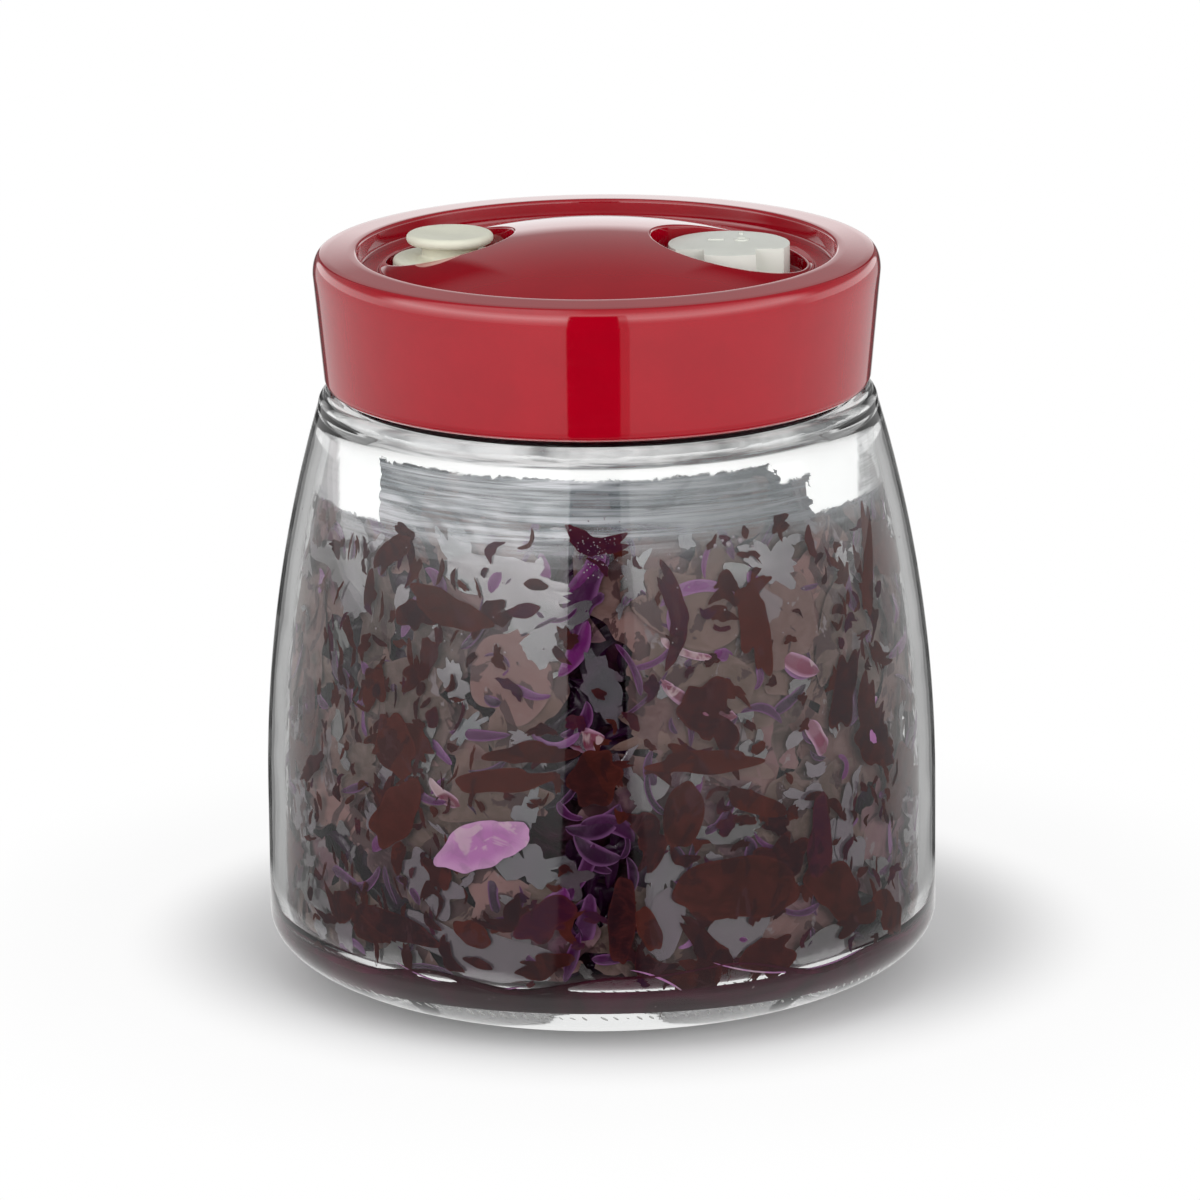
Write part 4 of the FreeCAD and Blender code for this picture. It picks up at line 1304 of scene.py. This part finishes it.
BROAD_TONES = tones((0.0, 56, 43, 40), (0.22, 90, 71, 63), (0.4, 111, 84, 77),
                    (0.55, 72, 41, 43), (0.7, 132, 97, 94), (0.85, 92, 54, 74), (1.0, 62, 38, 44))
WET_TONES = tones((0.0, 34, 12, 20), (0.15, 42, 14, 20), (0.36, 54, 20, 17), (0.62, 66, 23, 17),
                  (0.8, 46, 16, 20), (0.9, 54, 12, 36), (1.0, 44, 16, 42))
BROAD_LEAF = leaf_material(
    "broad_leaf", BROAD_TONES,
    vein=srgb(128, 102, 100), vein_share=0.45, shine=0.3, swelling=0.4, islands=0.85,
    cling=srgb(52, 25, 30), lift_reflection=srgb(128, 116, 120))
WET_LEAF = leaf_material(
    "wet_leaf", WET_TONES,
    vein=srgb(96, 40, 34), vein_share=0.3, shine=0.1, swelling=0.3, islands=0.5,
    cling=srgb(30, 12, 20), lift_reflection=srgb(70, 40, 46))
print("leaf finishes:", BROAD_LEAF.name, "and", WET_LEAF.name)

# %% Shred finish
PITH = srgb(206, 186, 188)


def shred_material(name, stops, edge, edge_share, shine=0.35, pithy=0.0):
    """A ribbon: its own tone, paler long edges, fine lengthwise grain and pale pith."""
    ribbon = Material(name)
    at = ribbon.place()
    tint = ribbon.ramp(ribbon.own("shade"), stops)
    grain = ribbon.noise(at, 260.0, detail=4.0, rough=0.6, warp=0.8)
    tint = ribbon.mix(ribbon.own("across").between(0.5, 1.0) * edge_share, tint, edge)
    tint = ribbon.mix(grain.between(0.45, 0.7) * 0.3, tint, dimmed(edge, 0.3))
    pith = ribbon.noise(at, 130.0, detail=3.0, rough=0.6, warp=1.0)
    tint = ribbon.mix(pith.between(0.54, 0.62) * pithy, tint, PITH)
    return ribbon.finish(ribbon.skin(Base_Color=tint, Roughness=0.26, Specular_IOR_Level=shine,
                                     Normal=ribbon.bump(grain, strength=0.35, distance=0.5 * MM)))


PURPLES = tones((0.0, 24, 6, 22), (0.3, 42, 11, 40), (0.55, 62, 14, 58), (0.78, 94, 18, 88),
                (0.9, 88, 40, 92), (1.0, 136, 88, 134))
# deep shreds also get a dark edge, painted shade of their depth
DEEP_SHRED_SHADED = shred_material("deep_shred", PURPLES, srgb(56, 22, 54), 0.25, 0.5)
NEAR_SHRED = shred_material("purple_shred", PURPLES, srgb(150, 92, 150), 0.45)
RIB = shred_material("pale_rib", tones((0.0, 96, 30, 50), (0.3, 108, 46, 66), (0.6, 122, 64, 86),
                                       (0.95, 176, 112, 170), (1.0, 186, 140, 176)),
                     srgb(214, 170, 204), 0.5, pithy=0.5)
print("shred finishes:", DEEP_SHRED_SHADED.name, NEAR_SHRED.name, RIB.name)

# %% Film finish
FILM_TONES = tones((0.0, 50, 50, 48), (0.3, 66, 60, 62), (0.5, 74, 60, 70), (0.75, 82, 72, 78),
                   (1.0, 74, 76, 80))
silver = Material("air_film")
place = silver.place()
mottle = silver.noise(place, 90.0, detail=4.0, rough=0.6, warp=1.2)
ripple = silver.noise(place, 75.0, detail=1.0, rough=0.4, warp=0.8)
tone = silver.ramp(silver.own("shade"), FILM_TONES)
tone = silver.mix(mottle.between(0.4, 0.75) * 0.5, tone, srgb(92, 72, 88))
FILM = silver.finish(silver.skin(Base_Color=tone, Roughness=0.08 + 0.08 * mottle, IOR=2.6,
                                 Normal=silver.bump(ripple, strength=0.22, distance=1.5 * MM)))
print("film finish:", FILM.name)

# %% Joining the heap
# the one rib that was laid as a scrap takes the values that shreds carry
flat_ribs = [part for part in ribs if "rim" in part[2]]
ribs = [part for part in ribs if "rim" not in part[2]]
for points, faces, values in flat_ribs:
    values["across"], values["along"] = values.pop("rim"), 0.5
    ribs.append((points, faces, values))
for name, parts, material in (("broad_leaves", broad, BROAD_LEAF), ("air_films", films, FILM),
                              ("wet_leaf_scraps", wet, WET_LEAF),
                              ("deep_shreds", deep_shreds, DEEP_SHRED_SHADED),
                              ("near_shreds", near_shreds, NEAR_SHRED), ("pale_ribs", ribs, RIB)):
    dress(joined(name, parts), material, "red_cabbage")

# %% [markdown]
# ## The smeared glass, and its painted glare
# Over the heap the glass carries a dried smear, brushed round it in streaks when the jar was
# filled. Above it, and at both sides of it, the glass is painted white and glowing: painted light
# that stands in for the bright glare there. Roughness on the glass itself would blur all that
# stands behind it, so both are one thin sheet just behind the wall, a strip of the wall's own
# outline that follows the glass into the shoulder. The streaks are see-through in between.

# %% The thin sheet
SMEAR_LOW, SMEAR_HIGH, HAIR = 97.0 * MM, 113.4 * MM, 0.06 * MM
SHOULDER_BEND = ((0.25, 0.0), (0.9, 0.7), (2.1, 1.9), (3.3, 3.1))       # inwards and up, in mm
outline = [(np.interp(z, _heights, _radii) - HAIR, z)
           for z in np.linspace(SMEAR_LOW, SMEAR_HIGH, 10)]
outline += [(barrel(TURN_IN, WALL) - in_by * MM - HAIR, TURN_IN + up_by * MM)
            for in_by, up_by in SHOULDER_BEND]
print("sheet up to %.1f mm" % (outline[-1][1] / MM))
smear = turned("brushed_smear", outline, FINE_STEPS)
smooth(smear, 60)

# %% Where the smear covers the glass
BREAKS, BRUSHED, BRISTLES = (30.0, 30.0, 55.0), (18.0, 18.0, 520.0), (60.0, 60.0, 1900.0)
SMEAR_LEFT, SMEAR_RIGHT = (-0.049, -0.044), (0.050, 0.056)       # it thins out at both sides
haze = Material("smear")
place = haze.place()
x, y, z = haze.parts(place)
broken = haze.streaks(place, BREAKS, detail=3.0, rough=0.6, warp=1.0)
streak = haze.streaks(place, BRUSHED, detail=4.0, rough=0.65, warp=0.9)
fine = haze.streaks(place, BRISTLES, detail=3.0, rough=0.6, warp=0.6)
rise_up = (z + (broken - 0.5) * 0.010).between(SMEAR_LOW + 1 * MM, SMEAR_LOW + 9 * MM)
ragged = (broken - 0.5) * 0.006
sides = (1 - (x - ragged * 3).between(*SMEAR_RIGHT)) * (x + ragged * 3).between(*SMEAR_LEFT)
front_side = (-y).between(0.0, 0.015)
cover = (streak * 0.6 + fine * 0.4).between(0.34, 0.62) * 0.8 + 0.14
cover = cover * (rise_up * 0.92 + 0.08) * (0.55 + 0.45 * broken.between(0.34, 0.5))
cover = (cover * sides * front_side).min(0.88)
print("cover made of", len(haze.tree.nodes), "nodes")

# %% Where the painted glare lies: high in front, and down in a pane at each side
GLARE_FROM, PANES_END, GLARE_SOFT = 113.5 * MM, 49.0 * MM, 1.0 * MM
RIGHT_STEP, RIGHT_PANE, LEFT_PANE = 30.0 * MM, 39.5 * MM, 41.5 * MM
STEP_DROP, RIGHT_DROP, LEFT_DROP = 3.5 * MM, 7.0 * MM, 11.5 * MM
tatter = (haze.noise(place, 260.0, detail=3.0, rough=0.6, warp=1.0) - 0.5) * 0.006
torn = x + ragged * 0.6 + tatter
fall = torn.between(RIGHT_STEP, RIGHT_STEP + 6 * MM) * STEP_DROP
fall = fall + torn.between(RIGHT_PANE, RIGHT_PANE + 1.5 * MM) * RIGHT_DROP
fall = fall + (-x + tatter * 0.3).between(LEFT_PANE, LEFT_PANE + 0.5 * MM) * LEFT_DROP
edge = GLARE_FROM - fall * front_side
beside = abs(x + tatter * 0.2).between(PANES_END, PANES_END + GLARE_SOFT) * front_side
# painted light: the mask of the white, glowing glare
painted_glare = (z + tatter * 0.5 - edge).between(-0.25 * MM, 0.35 * MM) * (0.96 - 0.5 * beside)
over_shoulder = z.between(TURN_IN + 1.0 * MM, TURN_IN + 1.6 * MM)
painted_glare = painted_glare * (1 - over_shoulder * (0.75 - streak.between(0.45, 0.6) * 0.5))
print("with the fog:", len(haze.tree.nodes), "nodes")

# %% Smear and painted glare finish
GLARE_GLOW = 0.42                            # the glare glows by itself: painted light
tint = haze.mix((streak * 0.5 + broken * 0.5).between(0.42, 0.60), srgb(124, 134, 140),
                srgb(232, 232, 238))
# painted shade: the smear is darker from the middle of the front to its right
tint = haze.mix(x.between(-0.012, 0.024) * 0.75, tint, srgb(78, 86, 90))
# painted light: the glare is painted near white, and glows below
tint = haze.mix(painted_glare, tint, srgb(247, 247, 247))
dress(smear, haze.finish(haze.skin(
    Base_Color=tint, Roughness=0.45, Alpha=cover.max(painted_glare), Specular_IOR_Level=0.5,
    Emission_Color=haze.mix(painted_glare, (0.0,) * 3, (1.0,) * 3), Emission_Strength=GLARE_GLOW)),
      "red_cabbage")

# %% [markdown]
# ## Beads and nicks
# Small beads of liquid hang in the smear, and a few bubbles of gas cling to the glass. The foot
# of the glass is nicked all round where the hot jar was pressed, and each nick holds a grain of
# light. Cutting the nicks out of the glass would tear its smooth shading. So all of these are
# copies of one small ball, squashed for the nicks, at their true sizes.

# %% Beads and bubbles
ball_points, ball_faces = modelled(bpy.ops.mesh.primitive_ico_sphere_add,
                                   subdivisions=2, radius=1.0)
wet_hand = np.random.default_rng(11)
BEAD, BUBBLE = (1, 0.6, 1), (1, 0.8, 1)
BEAD_DEPTH, BUBBLE_DEPTH = 0.02 * MM, 0.1 * MM
# each bubble's angle in degrees, height and radius in mm
BUBBLES = ((22.6, 100.2, 0.42), (24.2, 101.0, 0.36), (25.4, 100.2, 0.62), (26.6, 101.4, 0.34),
           (28.0, 100.6, 0.66), (19.6, 98.4, 0.32), (15.0, 96.6, 0.28), (30.4, 99.2, 0.3))


def bead(angle, height, depth, size, flat):
    """A ball on the wall. Flat squashes it across, out of and up the wall."""
    a = math.radians(angle)
    across, out, up = (ball_points * size * np.array(flat)).T
    across, out = swung(across, out, a)
    return (np.stack([across, out, up], axis=-1) + on_wall(a, height * MM, depth), ball_faces,
            {"shade": 0.5})


beads = [bead(wet_hand.normal(-1.5, 3.4), 101.5 + wet_hand.normal(0, 2.4), BEAD_DEPTH, r, BEAD)
         for r in wet_hand.uniform(0.07, 0.20, 170) * MM]
beads += [bead(wet_hand.uniform(-180, 180), wet_hand.uniform(80, 104), BEAD_DEPTH, r, BEAD)
          for r in wet_hand.uniform(0.08, 0.22, 120) * MM]
beads += [bead(angle, height, BUBBLE_DEPTH, r * MM, BUBBLE) for angle, height, r in BUBBLES]
print(len(beads), "beads and bubbles")

# %% Nicks round the foot
NICK_RING, NICK_HEIGHT, NICK_SPACING, NICK_TILT = 64.3 * MM, 8.6 * MM, 2.3 * MM, 35
NICK, NICK_SHAPE = 0.95 * MM, (0.30, 0.15, 1.0)
HEEL_OUT, HEEL_UP = 0.7, 0.6                # the slope of the glass there
nicks = []
for i in range(int(FULL_TURN * NICK_RING / NICK_SPACING)):
    turn = i * NICK_SPACING / NICK_RING
    size = NICK * wet_hand.uniform(0.5, 1.2)
    tilt = math.radians(NICK_TILT + wet_hand.normal(0, 6))
    across, out, up = (ball_points * size * np.array(NICK_SHAPE)).T
    across, up = swung(across, up, tilt)
    across, out = swung(across, -(NICK_RING + out + up * HEEL_OUT), turn)
    nicks.append((np.stack([across, out, NICK_HEIGHT + up * HEEL_UP], axis=-1), ball_faces,
                  {"shade": 0.5}))
# the nicks' near-white is a painted highlight, the light that they catch
spark = Material("nick")
grain = spark.mix(spark.noise(spark.place(), 900.0, detail=1.0), srgb(214, 214, 210),
                  srgb(240, 240, 238))
dress(joined("foot_nicks", nicks), spark.finish(spark.skin(
    Base_Color=grain, Roughness=0.3, Specular_IOR_Level=0.5)), "clear_glass")
drop = Material("bead")
dress(joined("beads", beads), drop.finish(drop.skin(
    Base_Color=(*srgb(150, 140, 146), 1.0), Roughness=0.05, IOR=1.9)), "red_cabbage")
print(len(nicks), "nicks round the foot")
